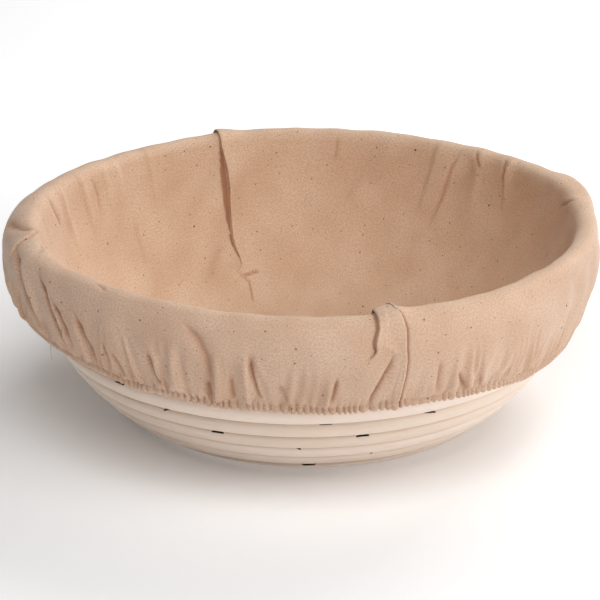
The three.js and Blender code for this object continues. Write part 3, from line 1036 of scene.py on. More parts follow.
@dataclass
class ClothLiner:
    """Cloth bowl with a cuff over the rim, drawn in by a gathered hem."""

    bowl: BowlShape
    finish: ClothFinish
    thread: ThreadFinish
    elastic: ThreadFinish
    thickness: float = 0.5 * MM
    lining_inset: float = 5.0 * MM
    seam_radius: float = 64.0 * MM
    crest: Stations = ((115.7, 79.0), (116.3, 82.0), (117.9, 84.0), (120.8, 84.9), (124.3, 84.1), (126.9, 81.3))
    cuff: Stations = ((128.2, 75.5), (128.3, 70.0), (127.2, 62.0), (124.9, 54.5), (121.8, 47.5), (118.3, 41.0),
                      (114.2, 34.0))
    rim_rise: Stations = ((-165.0, -0.4), (-148.0, -1.0), (-139.0, 0.2), (-129.0, 0.6), (-119.0, 0.5), (-109.0, 0.0),
                          (-99.0, -0.4), (-84.0, -0.6), (-77.0, -0.6), (-75.0, 1.0), (-73.0, 1.9), (-69.0, 1.1),
                          (-64.0, 0.5), (-50.0, 0.4), (-38.0, 0.9), (-25.0, 0.6), (-8.0, 0.0), (6.0, 1.0), (19.0, 2.2),
                          (27.0, 1.0), (36.0, 0.0), (46.0, -0.3), (57.0, -1.0), (70.0, -0.6), (90.0, -0.5),
                          (106.0, -0.2), (116.0, -0.7), (127.0, -1.4), (140.0, -1.2), (157.0, -0.3), (170.0, 0.4))
    rim_flare: Stations = ((-150.0, 0.0), (-20.0, 0.0), (5.0, 0.5), (13.0, 2.0), (20.0, 2.9), (28.0, 1.0), (38.0, 0.0),
                           (60.0, 0.0), (150.0, 0.0))
    cuff_bulge: Stations = ((-179.0, 3.8), (-175.0, 4.0), (-165.0, 3.2), (-158.0, 2.6), (-149.0, 1.4), (-134.0, 0.2),
                            (-115.0, 0.0), (-45.0, -0.4), (-32.0, -2.4), (-10.0, -1.8), (-4.0, -2.4), (3.0, -2.0),
                            (12.0, -0.5), (25.0, 0.0), (150.0, 0.0), (166.0, 1.2), (173.0, 3.0))
    bulge_way: Stations = ((1.0, 0.0), (9.0, 1.0), (34.0, 1.0), (44.0, 0.5), (50.0, 0.25))
    hem_level: Stations = ((-145.0, 47.6), (-139.0, 46.8), (-133.0, 46.7), (-128.0, 45.2), (-123.0, 44.2),
                           (-114.0, 44.9), (-110.0, 43.6), (-96.0, 43.2), (-85.0, 42.4), (-75.0, 42.9), (-67.0, 43.3),
                           (-58.0, 42.4), (-48.0, 40.9), (-37.0, 38.2), (-10.0, 38.0), (60.0, 40.0), (120.0, 43.0),
                           (170.0, 47.0))
    band: float = 4.2 * MM
    ruffles: int = 276
    ruffle_depth: float = 0.8 * MM
    scallop: float = 0.5 * MM
    bead_steps: int = 6
    bead_share: Stations = ((-180.0, 0.5), (-132.0, 0.5), (-120.0, 1.0), (-50.0, 1.0), (-36.0, 0.6), (0.0, 0.5),
                            (180.0, 0.5))
    # Strength of the painted shade in the gaps between the hem's beads.
    bead_gap_shade: float = 0.5
    hem_roll: float = 0.6 * MM
    hem_tuck: float = 0.9 * MM
    hem_sewn: float = 0.45 * MM
    stitch_radius: float = 0.17 * MM
    seam_stitches: int = 160
    seam_inset: float = 2.2 * MM
    loose_degrees: float = -149.0
    loose_length: float = 6.2 * MM
    strand_sides: int = 6
    bottom_columns: int = 240
    bottom_rings: int = 44
    bottom_shift: float = 0.5
    settle_from: float = 4.0 * MM
    slack_from: float = 12.0 * MM
    wall_slopes: Triple = (46.0, 84.0, 7.0)
    row_spacing: float = 0.9 * MM
    crest_span: tuple[float, float] = (-10.0 * MM, 9.0 * MM)
    crest_spacing: float = 0.7 * MM
    cuff_rows: int = 72
    cuff_waves: float = 0.55 * MM
    lining_waves: float = 0.4 * MM
    rim_waves: float = 0.25
    gathers: int = 100
    calm_gathers: tuple[float, float] = (-52.0, 0.0)
    calm_share: float = 0.5
    bulge_kept: float = 6.0
    gather_share: Stations = ((-172.0, 0.26), (-130.0, 0.26), (-105.0, 0.22), (-92.0, 0.16), (-60.0, 0.2),
                              (-30.0, 0.13), (60.0, 0.18), (130.0, 0.22))
    seed: int = 11
    pleats: tuple[Pleat, ...] = ()
    openings: tuple[Opening, ...] = ()
    creases: tuple[Crease, ...] = ()
    folds: tuple[Fold, ...] = ()
    gathering: Gathering = field(default_factory=Gathering)
    line: dict[str, Array] = field(default_factory=dict)

    def trace_line(self) -> None:
        """Works out the cloth's line in a half-plane: way, distance from the axis, height and outward side."""
        bowl = self.bowl
        wall = bowl.arc_point(np.radians(np.arange(*self.wall_slopes)), self.lining_inset)
        soft = MM * np.array(self.crest + self.cuff).T
        level = bowl.base_height + self.lining_inset
        heel = np.array([(self.seam_radius, level), (self.seam_radius + 5.0 * MM, level + 0.1 * MM),
                         (bowl.base_radius - 2.0 * MM, level + 1.3 * MM)]).T
        knots = np.concatenate([heel, wall, soft], axis=1).T
        chord = np.concatenate([[0.0], np.cumsum(np.linalg.norm(np.diff(knots, axis=0), axis=1))])
        fine = spline(chord, knots, np.linspace(0.0, chord[-1], 4000))
        way = np.concatenate([[0.0], np.cumsum(np.linalg.norm(np.diff(fine, axis=0), axis=1))])
        top = int(np.argmax(fine[:, 1]))
        steps = np.gradient(fine, axis=0)
        steps /= np.linalg.norm(steps, axis=1, keepdims=True)
        self.line = {"way": way - way[top], "radius": fine[:, 0], "height": fine[:, 1],
                     "side_r": -steps[:, 1], "side_z": steps[:, 0]}

    def on_line(self, name: str, way: Array) -> Array:
        """Value of the traced line at ways from the crest."""
        return np.interp(way, self.line["way"], self.line[name])

    def way_at_hem(self, degrees: Array) -> Array:
        """Way down the cuff to the hem's lower edge, round the axis."""
        outside = self.line["way"] > 0
        level = MM * around(self.hem_level, degrees)
        return np.interp(-level, -self.line["height"][outside], self.line["way"][outside])

    def flat_columns(self) -> tuple[Array, list[tuple[Pleat, slice]]]:
        """Columns of the grid, with more of them across each pleat.

        Returns:
            Degrees of each column on the flat cloth, and the columns of each pleat.
        """
        parts: list[Array] = []
        places: list[tuple[Pleat, slice]] = []
        at = -180.0
        total = 0
        for pleat in sorted(self.pleats, key=lambda p: p.zone[0]):
            parts.append(self.bead_columns(at, pleat.zone[0]))
            total += len(parts[-1])
            parts.append(np.linspace(*pleat.zone, pleat.columns, endpoint=False))
            places.append((pleat, slice(total, total + pleat.columns)))
            total += pleat.columns
            at = pleat.zone[1]
        parts.append(self.bead_columns(at, 180.0))
        return np.concatenate(parts), places

    def bead_columns(self, start: float, end: float) -> Array:
        """Columns from start to just before end, an even number of them to each bead of the hem.

        Args:
            start: degrees of the first column.
            end: degrees at which the next part of the cloth starts.

        Returns:
            Degrees of the columns.
        """
        if end <= start:
            return np.zeros(0)
        fine = np.linspace(start, end, 20000)
        phase = self.bead_phase(fine)
        step = np.pi / self.bead_steps
        marks = np.arange(math.ceil(phase[0] / step + 0.4), math.ceil(phase[-1] / step - 0.4)) * step
        return np.concatenate([[start], np.interp(marks, phase, fine)])

    def row_ways(self, degrees: Array) -> Array:
        """Ways of the grid's rows for each column, from the seam at the base to the top of the hem."""
        low, high = self.crest_span
        inside = np.arange(self.line["way"][0], low, self.row_spacing)
        over = np.arange(low, high, self.crest_spacing)
        end = self.way_at_hem(degrees)[:, None]
        share = np.linspace(0.0, 1.0, self.cuff_rows)
        fixed = np.tile(np.concatenate([inside, over]), (len(degrees), 1))
        return np.concatenate([fixed, high + share * (end - high)], axis=1)

    @staticmethod
    def opening_share(opening: Opening, degrees: Array, way: Array) -> Array:
        """How far each point lies in a pleat's opening, from 0 to 1.

        Args:
            opening: the opening.
            degrees: degrees of each point.
            way: way of each point.

        Returns:
            Share of each point.
        """
        edge = along(opening.edge, way / MM)
        gap = along(opening.border, way / MM) - edge
        share = (degrees - edge) / np.where(np.abs(gap) < 0.05, 0.05, gap)
        return smooth_step(-0.1, 0.15, share) * smooth_step(1.05, 0.8, share) * smooth_step(0.05, 0.3, np.abs(gap))

    def crease_height(self, crease: Crease, degrees: Array, way: Array, radius: Array) -> tuple[Array, Array]:
        """Height that a crease gives the cloth, and the painted shade along its line.

        Args:
            crease: the crease.
            degrees: degrees of each point.
            way: way of each point.
            radius: distance of each point from the axis.

        Returns:
            Height of each point towards the side that shows, and its painted shade from 0 to 1.
        """
        middle = crease.path[len(crease.path) // 2][0]
        x = np.radians(wrapped(degrees - middle)) * radius
        best = np.full(way.shape, np.inf)
        progress = np.zeros(way.shape)
        side = np.zeros(way.shape)
        ways = MM * np.array([p[1] for p in crease.path])
        arcs = np.radians([p[0] - middle for p in crease.path]) * self.on_line("radius", ways)
        lengths = np.hypot(np.diff(arcs), np.diff(ways))
        total = lengths.sum()
        done = 0.0
        for k, length in enumerate(lengths):
            dx, dy = (arcs[k + 1] - arcs[k]) / length, (ways[k + 1] - ways[k]) / length
            f = np.clip((x - arcs[k]) * dx + (way - ways[k]) * dy, 0.0, length)
            distance = np.hypot(x - arcs[k] - f * dx, way - ways[k] - f * dy)
            nearer = distance < best
            best = np.where(nearer, distance, best)
            progress = np.where(nearer, (done + f) / total, progress)
            side = np.where(nearer, (way - ways[k]) * dx - (x - arcs[k]) * dy, side)
            done += length
        ends = smooth_step(0.0, 0.22, progress) * smooth_step(1.0, 0.78, progress)
        fade = 0.25 + 0.75 * ends
        width, depth = crease.width * MM, crease.depth * MM
        notch = np.exp(-((best / width) ** 1.3))
        bank = np.exp(-((best / (4.0 * width)) ** 2))
        lap = np.tanh(side / (0.5 * MM)) * np.exp(-best / (7.0 * width))
        # Painted shade along the crease's line, stronger where it is deep for its width.
        sharp = fade * np.exp(-((best / (0.75 * width)) ** 2)) * min(1.0, depth / width)
        return fade * (crease.lift * MM * bank - depth * notch) + ends * (crease.step * MM) * lap, sharp

    def fold_height(self, fold: Fold, degrees: Array, way: Array, radius: Array, hem: Array) -> Array:
        """Height that a soft fold gives the cloth.

        Args:
            fold: the fold.
            degrees: degrees of each point.
            way: way of each point.
            radius: distance of each point from the axis.
            hem: way at the hem's lower edge for each point.

        Returns:
            Height of each point towards the side that shows.
        """
        reach = fold.reach * MM
        if fold.face is Face.CUFF:
            run = (hem - self.band - way) / reach
            fade = smooth_step(1.0, 0.0, run) * (way > 0)
            fade = fade * (0.12 + 0.88 * smooth_step(0.7 * self.band, self.band + 5.0 * MM, hem - way))
        else:
            run = -(way + 4.0 * MM) / reach
            fade = smooth_step(-0.12, 0.12, run) * smooth_step(1.0, 0.3, run)
        x = np.radians(wrapped(degrees - fold.degrees - fold.slant * np.clip(run, 0.0, 1.0))) * radius
        wide = fold.width * MM * np.where(x < 0, 1 + fold.lean, 1 - fold.lean)
        return fold.height * MM * fade * np.exp(-((x / wide) ** 2))

    def random_gathers(self) -> list[Fold]:
        """Uneven puckers drawn up by the elastic, all round the hem."""
        rng = np.random.default_rng(self.seed)
        made = []
        for k in range(self.gathers):
            tall = rng.uniform() ** 1.6
            degrees = -180.0 + 360.0 * (k + rng.uniform(-0.35, 0.35)) / self.gathers
            calm = self.calm_gathers[0] < degrees < self.calm_gathers[1]
            made.append(Fold(
                face=Face.CUFF,
                degrees=degrees,
                slant=rng.uniform(-3.0, 3.0) * (0.4 + tall),
                reach=7.0 + 22.0 * tall,
                width=rng.uniform(1.1, 2.4),
                height=rng.uniform(0.5, 1.3) * (0.7 + 0.8 * tall) * (self.calm_share if calm else 1.0),
                lean=rng.uniform(-0.55, 0.55),
            ))
        return made

    def pleat_shift(self, pleat: Pleat, way: Array, radius: Array) -> tuple[Array, Array]:
        """Places of a pleat's columns.

        Args:
            pleat: the pleat.
            way: ways of its points, columns by rows.
            radius: their distances from the axis.

        Returns:
            Degrees and heights of the points.
        """
        count, rows = way.shape
        sign = pleat.facing.value
        near, far = pleat.zone if sign > 0 else pleat.zone[::-1]
        strength = along(pleat.strength, way[0] / MM)
        high = MM * along(pleat.height, way[0] / MM)
        edge = along(pleat.edge, way[0] / MM)
        root = MM * along(pleat.root, way[0] / MM)
        arc = np.radians(1.0) * radius[0]
        before = sign * (near - edge) * arc
        after = sign * (far - edge) * arc
        lap = pleat.overlap * np.ones(rows)
        skin = 1.25 * self.thickness
        flat = pleat.flatness
        zero = np.zeros(rows)
        rise = high - root
        upper_side = [
            (before, root), (0.62 * before, root + (0.12 + 0.3 * flat) * rise),
            (0.36 * before, root + (0.45 + 0.2 * flat) * rise),
            (np.maximum(0.18 * before, -2.2 * MM), root + 0.92 * rise), (zero - 0.7 * MM, high),
        ]
        turned_edge = [(zero - 0.1 * MM, high - 0.25 * skin), (zero - 0.05 * MM, high - 0.9 * skin)]
        under_side = [
            (zero - 0.6 * MM, np.maximum(high - 1.1 * skin, 0.25 * high)),
            (-0.6 * lap, np.minimum(0.55 * high, np.maximum(high - skin, 0.3 * high))),
            (-lap, np.minimum(np.maximum(0.3 * high, skin), 0.4 * high)),
        ]
        turned_back = [(-1.06 * lap, np.minimum(0.5 * skin, 0.22 * high)), (-0.9 * lap, zero), (-0.3 * lap, zero)]
        beside = [(zero + 1.0 * MM, zero), (0.35 * after, zero), (after, zero)]
        knots = [*upper_side, *turned_edge, *under_side, *turned_back, *beside]
        share = np.array([0.0, 0.16, 0.3, 0.4, 0.455, 0.48, 0.5, 0.525, 0.58, 0.635, 0.66, 0.685, 0.74, 0.8, 0.88,
                          1.0])
        table = np.array([np.stack(k) for k in knots])
        f = np.arange(count) / count
        f = f if sign > 0 else 1.0 - f
        folded = spline(share, table, f)
        flat_x = before + f[:, None] * (after - before)
        flat_z = root * (1 - smooth_step(0.0, 0.6, f))[:, None]
        x = flat_x + strength * (folded[:, 0] - flat_x)
        return edge + sign * x / arc, flat_z + strength * (folded[:, 1] - flat_z)

    def build_wall(self) -> bpy.types.Object:
        """The liner's wall and cuff, one cloth from the seam at the base to the hem."""
        flat, places = self.flat_columns()
        way = self.row_ways(flat)
        hem = self.way_at_hem(flat)[:, None]
        radius = self.on_line("radius", way)
        height = self.on_line("height", way)
        degrees = np.tile(flat[:, None], (1, way.shape[1]))
        raised = np.zeros_like(way)
        for pleat, columns in places:
            degrees[columns], raised[columns] = self.pleat_shift(pleat, way[columns], radius[columns])
        folded, lapped = degrees, raised.copy()
        turns = degrees / 360.0
        for fold in [*self.folds, *self.random_gathers()]:
            raised += self.fold_height(fold, degrees, way, radius, hem)
        raised += self.hem_height(degrees, hem - way)
        loose_cuff = smooth_step(4.0 * MM, 16.0 * MM, way) * smooth_step(0.0, 10.0 * MM, hem - way)
        raised += self.cuff_waves * loose_cuff * waves(turns, (9, 14, 23, 31, 45), 3)
        loose_lining = smooth_step(-4.0 * MM, -14.0 * MM, way) * smooth_step(-92.0 * MM, -60.0 * MM, way)
        soft = 1.2 + waves(turns + 0.9 * way, (6, 11, 17, 29, 41), 4)
        raised += self.lining_waves * loose_lining * soft
        near_rim = np.exp(-((way / (26.0 * MM)) ** 2))
        lift = MM * (around(self.rim_rise, degrees) + self.rim_waves * waves(turns, (19, 29, 41), 6)) * near_rim
        lower_edge = smooth_step(1.6 * MM, 0.0, hem - way)
        lift += self.scallop * lower_edge * (0.4 - 0.5 * self.ruffle(degrees))
        outward = self.stand_off(degrees, way)
        side_r, side_z = self.on_line("side_r", way), self.on_line("side_z", way)
        points = to_space(radius + raised * side_r + outward, height + raised * side_z + lift, np.radians(degrees))
        points = self.settle_cuff(points, flat, way, hem)
        # Painted shade in the gaps between the hem's beads.
        gaps = smooth_step(-0.4, -1.1, self.ruffle(degrees))
        gaps = gaps * smooth_step(self.band + 1.5 * MM, self.band, hem - way)
        painted_shade = self.bead_gap_shade * gaps * around(self.bead_share, degrees)
        dent = np.zeros_like(way)
        # Pleat mouths get a shallow dent and painted shade; creases get painted shade along their lines.
        for opening in self.openings:
            inside = self.opening_share(opening, degrees, way)
            painted_shade = np.maximum(painted_shade, opening.tone * inside)
            dent -= opening.depth * MM * inside
        for crease in self.creases:
            height, sharp = self.crease_height(crease, degrees, way, radius)
            dent += height
            painted_shade = np.maximum(painted_shade, sharp)
        dent *= smooth_step(0.5 * self.band, self.band + 2.0 * MM, hem - way)
        angle = np.arctan2(points[..., 1], points[..., 0])
        points += to_space(dent * side_r, dent * side_z, angle)
        rows = np.concatenate([way, way[:1]])
        uv = np.stack([self.cut_width(flat, folded, lapped, radius), rows], axis=-1)
        return grid_object("liner_cloth", points, uv, closed_columns=True, painted_shade=painted_shade)

    @staticmethod
    def cut_width(flat: Array, degrees: Array, raised: Array, radius: Array) -> Array:
        """Place of each point across the cut cloth, in metres at the rim, with one column more at the end.

        Args:
            flat: degrees of each column before the cloth is folded.
            degrees: degrees of each point after folding.
            raised: height of each point after folding.
            radius: distance of each point from the axis.

        Returns:
            Places, columns by rows.
        """
        closed = np.concatenate([degrees, degrees[:1] + 360.0])
        height = np.concatenate([raised, raised[:1]]) / np.concatenate([radius, radius[:1]])
        steps = np.hypot(np.radians(np.diff(closed, axis=0)), np.diff(height, axis=0))
        turns = np.concatenate([np.zeros((1, degrees.shape[1])), np.cumsum(steps, axis=0)])
        return RIM_RADIUS * (turns + math.radians(flat[0]))

    def hem_height(self, degrees: Array, above: Array) -> Array:
        """Height of the gathered hem over the cuff's line.

        Args:
            degrees: degrees of each point.
            above: way of each point above the hem's lower edge.

        Returns:
            Height of each point.
        """
        share = above / self.band
        amount = (1 + 0.4 * waves(degrees / 360.0, (13, 21, 34), 22)) * around(self.bead_share, degrees)
        arch = np.sin(np.pi * np.clip(share, 0.0, 1.0))
        bead = 0.55 + 0.45 * arch
        rising = np.exp(-np.maximum(above - self.band, 0.0) / (2.5 * MM))
        rolled = self.hem_roll * arch**0.7 - self.hem_tuck * smooth_step(0.16, 0.0, share)
        sewn = self.hem_sewn * np.exp(-(((above - self.band) / (0.7 * MM)) ** 2))
        return self.ruffle_depth * amount * self.ruffle(degrees) * bead * rising + rolled - sewn

    def stand_off(self, degrees: Array, way: Array) -> Array:
        """Distance by which the crest and the cuff stand out from the traced line."""
        near_crest = smooth_step(-1.0 * MM, 4.0 * MM, way) * smooth_step(45.0 * MM, 20.0 * MM, way)
        flare = around(self.rim_flare, degrees) * near_crest
        bulge = around(self.cuff_bulge, degrees) * along(self.bulge_way, way / MM)
        return MM * (flare + bulge)

    def settle_cuff(self, points: Array, flat: Array, way: Array, hem: Array) -> Array:
        """Lets the cuff pucker, because its cut is wider than the elastic leaves it.

        Args:
            points: the cloth's grid, columns by rows by 3.
            flat: degrees of each column on the flat cloth.
            way: way of each point.
            hem: way at the hem's lower edge for each column.

        Returns:
            The settled grid.
        """
        first = int(np.searchsorted(way[0], self.settle_from))
        cuff, way = points[:, first:], way[:, first:]
        free = smooth_step(6.0 * MM, 15.0 * MM, way) * smooth_step(self.band, self.band + 2.5 * MM, hem - way)
        for pleat in self.pleats:
            if not pleat.settles:
                apart = np.maximum(pleat.zone[0] - flat, flat - pleat.zone[1])
                free = free * smooth_step(0.0, 3.0, apart)[:, None]
        down = np.clip((way - self.slack_from) / (hem - self.band - self.slack_from), 0.0, 1.0) ** 1.5
        wide = around(self.gather_share, flat) * (1 + 0.45 * waves(flat / 360.0, (17, 29, 43, 67), 41))
        settled = self.gathering.settle(cuff, free, 1 + wide[:, None] * down)
        swollen = np.hypot(settled[..., 0], settled[..., 1]) - np.hypot(cuff[..., 0], cuff[..., 1])
        wander = np.radians(flat[:, None] - flat[None, :])
        near = np.exp((np.cos(wander) - 1) / math.radians(self.bulge_kept) ** 2)
        even = near / near.sum(axis=1, keepdims=True) @ swollen
        radius = np.hypot(settled[..., 0], settled[..., 1])
        settled[..., :2] *= (1 - even / radius)[..., None]
        return np.concatenate([points[:, :first], settled], axis=1)

    def hem_place(self, degrees: Array, down: Array, out: Array) -> Array:
        """Points of the hem.

        Args:
            degrees: degrees of each point.
            down: way of each point below the hem's lower edge.
            out: distance of each point from the cuff's line, away from the basket.

        Returns:
            The points.
        """
        way = self.way_at_hem(degrees) + down
        radius = self.on_line("radius", way) + out * self.on_line("side_r", way) + self.stand_off(degrees, way)
        height = self.on_line("height", way) + out * self.on_line("side_z", way)
        return to_space(radius, height, np.radians(degrees))

    def ruffle(self, degrees: Array) -> Array:
        """Height of the hem's fine ruffles, from -1.2 in the gaps to 0.8."""
        return 2.0 * np.abs(np.sin(self.bead_phase(degrees))) ** 0.7 - 1.2

    def bead_phase(self, degrees: Array) -> Array:
        """Phase of the hem's ruffles, with a gap between two beads at each half turn."""
        turns = degrees / 360.0
        return np.pi * self.ruffles * turns + 1.6 * waves(turns, (5, 9, 17, 26, 43, 61), 21)

    @staticmethod
    def ring_uv(degrees: Array, across: Array) -> Array:
        """Texture places of a band round the axis, with one column more at the end."""
        spread = RIM_RADIUS * np.radians(np.append(degrees, 180.0))
        return np.stack(np.meshgrid(spread, across, indexing="ij"), axis=-1)

    def build_hem(self) -> bpy.types.Object:
        """The hem's turned-under side, behind the elastic."""
        degrees = np.linspace(-180.0, 180.0, self.ruffles * self.bead_steps, endpoint=False)[:, None]
        line = MM * np.array([(-0.1, -0.75), (0.0, -1.1), (-0.1, -1.5), (-0.6, -1.9), (-2.4, -2.0), (-4.4, -1.9)])
        pull = np.array([0.35, 0.3, 0.2, 0.1, 0.0, 0.0])
        out = line[:, 1] + self.ruffle_depth * self.ruffle(degrees) * pull
        down = np.tile(line[:, 0], (len(degrees), 1))
        points = self.hem_place(np.tile(degrees, (1, len(line))), down, out)
        uv = self.ring_uv(degrees, 0.06 + 0.8 * MM * np.arange(len(line)))
        return grid_object("hem_casing", points, uv, closed_columns=True)

    def build_stitches(self) -> bpy.types.Object:
        """Thread that closes the casing, one slanted stitch to each ruffle."""
        stitches = []
        f = np.linspace(-1.0, 1.0, 7)
        down = 0.3 * MM * f - self.band
        out = -0.35 * MM - 0.5 * MM * np.abs(f) ** 3
        for k in range(self.ruffles):
            degrees = -180.0 + 360.0 * (k + 0.3) / self.ruffles + 0.3 * f
            path = self.hem_place(degrees, down, out)
            stitches.append(strand_object("stitch", path, self.stitch_radius, self.strand_sides, f * MM))
        return join("hem_stitches", stitches)

    def build_elastic(self) -> bpy.types.Object:
        """Flat elastic inside the casing."""
        degrees = np.linspace(-180.0, 180.0, 360, endpoint=False)[:, None]
        line = MM * np.array([(-3.6, -1.25), (-3.6, -0.75), (-0.7, -0.75), (-0.7, -1.25)])
        points = self.hem_place(np.tile(degrees, (1, 4)), line[:, 0], line[:, 1])
        uv = self.ring_uv(degrees, np.arange(5) * MM)
        return grid_object("hem_elastic_band", points, uv, closed_columns=True, closed_rows=True)

    def build_bottom(self) -> bpy.types.Object:
        """Round bottom of the liner, sewn to the wall."""
        degrees = np.linspace(-180.0, 180.0, self.bottom_columns, endpoint=False)[:, None]
        radius = (self.seam_radius + 1.0 * MM) * np.linspace(1.0, 0.002, self.bottom_rings)[None, :]
        level = self.bowl.base_height + self.lining_inset
        turns = degrees / 360.0
        slack = np.sin(np.pi * np.clip(radius / self.seam_radius, 0.0, 1.0))
        rise = 0.35 * MM * slack * (1 + waves(turns + 4.0 * radius, (3, 5, 8), 31))
        edge = 0.5 * MM * smooth_step(3.0 * MM, 0.0, self.seam_radius - radius) * waves(turns, (41, 57, 73), 32)
        points = to_space(radius + 0 * degrees, level + rise + 0.2 * edge, np.radians(degrees) + 0 * radius)
        spread = np.radians(np.append(degrees, 180.0))[:, None]
        uv = np.stack([radius * np.cos(spread), radius * np.sin(spread)], axis=-1) - self.bottom_shift
        return grid_object("liner_bottom", points[:, ::-1], uv[:, ::-1], closed_columns=True)

    def build_seam(self) -> bpy.types.Object:
        """Stitches of the seam between the bottom and the wall."""
        count = self.seam_stitches
        stitches = []
        f = np.linspace(-1.0, 1.0, 7)
        radius = np.full(len(f), self.seam_radius - self.seam_inset)
        height = self.bowl.base_height + self.lining_inset + 0.42 * MM - 0.3 * MM * np.abs(f) ** 3
        for k in range(count):
            path = to_space(radius, height, 2 * np.pi * (k + 0.36 * f) / count)
            stitches.append(strand_object("stitch", path, 0.18 * MM, self.strand_sides, f * MM))
        return join("bottom_stitches", stitches)

    def build_loose_thread(self) -> bpy.types.Object:
        """Cut end of the hem's thread, which hangs from the left of the hem."""
        f = np.linspace(0.0, 1.0, 14)
        start = [np.full(len(f), value) for value in (self.loose_degrees, -0.5 * MM, 0.2 * MM)]
        path = self.hem_place(*start)
        hang = self.loose_length * f
        sway = np.array([-0.35, -0.9, 0.0]) * (1.6 * MM * np.sin(2.2 * f) * f)[:, None]
        path = path + sway + np.stack([1.1 * MM * f**2, -0.6 * MM * f, -hang], axis=1)
        return strand_object("loose_thread", path, 0.16 * MM, self.strand_sides, hang)

    def build(self) -> None:
        """Builds and dresses the liner."""
        self.trace_line()
        cloth = self.finish.material()
        sewing = self.thread.material()
        wall, bottom, hem = self.build_wall(), self.build_bottom(), self.build_hem()
        for piece in (wall, bottom, hem):
            shell = piece.modifiers.new("cloth_thickness", "SOLIDIFY")
            shell.thickness = self.thickness
            shell.offset = -1.0
            dress(piece, cloth, "liner")
        stitches, seam, tail = self.build_stitches(), self.build_seam(), self.build_loose_thread()
        for piece in (stitches, seam, tail):
            dress(piece, sewing, "liner")
        band = self.build_elastic()
        dress(band, self.elastic.material(), "liner")
        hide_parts("liner_wall", "liner_cuff")
        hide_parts("liner_base")
        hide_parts("hem_thread")
        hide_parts("hem_elastic")


# Folds that the photograph shows, as degrees round the axis and ways in millimetres from the rim's crest

BACK_PLEAT = Pleat(
    facing=Facing.ANTICLOCKWISE,
    zone=(102.0, 122.0),
    edge=((-95.0, 110.0), (-73.0, 111.4), (-70.3, 112.4), (-68.8, 111.5), (-66.4, 110.5), (-63.1, 110.9),
          (-58.5, 111.7), (-53.0, 112.0), (-44.0, 111.8), (-29.0, 111.3), (-18.0, 111.5), (-8.0, 112.3), (0.0, 112.3),
          (20.0, 112.2), (40.0, 112.2)),
    strength=((-76.0, 0.0), (-68.0, 0.7), (-58.0, 1.0), (14.0, 1.0), (34.0, 0.5), (44.0, 0.0)),
    height=((-68.0, 1.2), (-52.0, 1.8), (-38.0, 2.6), (-24.0, 3.0), (-14.0, 2.6), (-5.0, 1.7), (3.0, 1.6),
            (30.0, 1.4)),
    overlap=4.5 * MM,
    settles=True,
)
# The openings' tone is painted shade in the pleats' mouths; their depth is a real dent.
BACK_OPENING = Opening(
    edge=BACK_PLEAT.edge,
    border=((-95.0, 110.0), (-73.0, 111.4), (-70.3, 112.4), (-68.8, 111.5), (-66.4, 110.5), (-63.1, 111.0),
            (-60.0, 111.8), (-55.0, 112.7), (-53.0, 112.9), (-50.5, 112.3), (-46.0, 112.7), (-41.0, 112.9),
            (-32.0, 113.0), (-26.0, 113.1), (-17.0, 112.8), (-12.0, 112.6), (-8.0, 112.5), (0.0, 112.4),
            (8.0, 112.3), (20.0, 112.2), (40.0, 112.2)),
    depth=0.6,
    tone=1.35,
)
FRONT_BAND = ((-24.0, 0.0), (-12.0, 0.9), (16.0, 0.9), (30.0, 0.3), (40.0, 0.0))
FRONT_PLEAT_LEFT = Pleat(
    facing=Facing.CLOCKWISE,
    zone=(-84.0, -74.4),
    edge=((-30.0, -76.3), (0.0, -76.6), (4.5, -76.4), (8.0, -76.5), (12.0, -77.1), (15.0, -77.1), (18.0, -76.8),
          (25.0, -76.8)),
    strength=((-24.0, 0.0), (-12.0, 1.0), (16.0, 1.0), (20.0, 0.4), (25.0, 0.0)),
    height=((-10.0, 1.4), (2.0, 1.6), (12.0, 1.8), (25.0, 1.0)),
    overlap=2.6 * MM,
    flatness=1.0,
    root=FRONT_BAND,
)
FRONT_PLEAT_RIGHT = Pleat(
    facing=Facing.ANTICLOCKWISE,
    zone=(-74.4, -63.0),
    edge=((-30.0, -73.0), (-3.0, -73.4), (1.5, -72.8), (5.5, -72.1), (10.0, -71.6), (17.5, -71.6), (22.5, -71.4),
          (29.5, -71.5), (37.0, -71.8), (48.0, -71.9)),
    strength=((-34.0, 0.0), (-20.0, 1.0), (50.0, 1.0)),
    height=((-20.0, 1.1), (0.0, 1.2), (10.0, 1.3), (22.0, 1.7), (32.0, 1.6), (46.0, 1.2)),
    overlap=2.6 * MM,
    flatness=0.7,
    root=FRONT_BAND,
)
FRONT_LINE_LEFT = Opening(
    edge=FRONT_PLEAT_LEFT.edge,
    border=((-30.0, -76.3), (0.0, -76.9), (4.5, -77.1), (8.0, -77.1), (12.0, -77.7), (15.0, -77.6), (18.0, -76.8),
            (25.0, -76.8)),
    depth=0.4,
    tone=1.1,
)
FRONT_LINE_RIGHT = Opening(
    edge=FRONT_PLEAT_RIGHT.edge,
    border=((-30.0, -73.0), (-22.0, -73.1), (-14.0, -72.8), (-3.0, -72.9), (1.5, -72.3), (5.5, -71.6), (10.0, -71.1),
            (17.5, -71.1), (22.5, -70.9), (29.5, -71.0), (37.0, -71.3), (48.0, -71.4)),
    depth=0.4,
    tone=1.1,
)
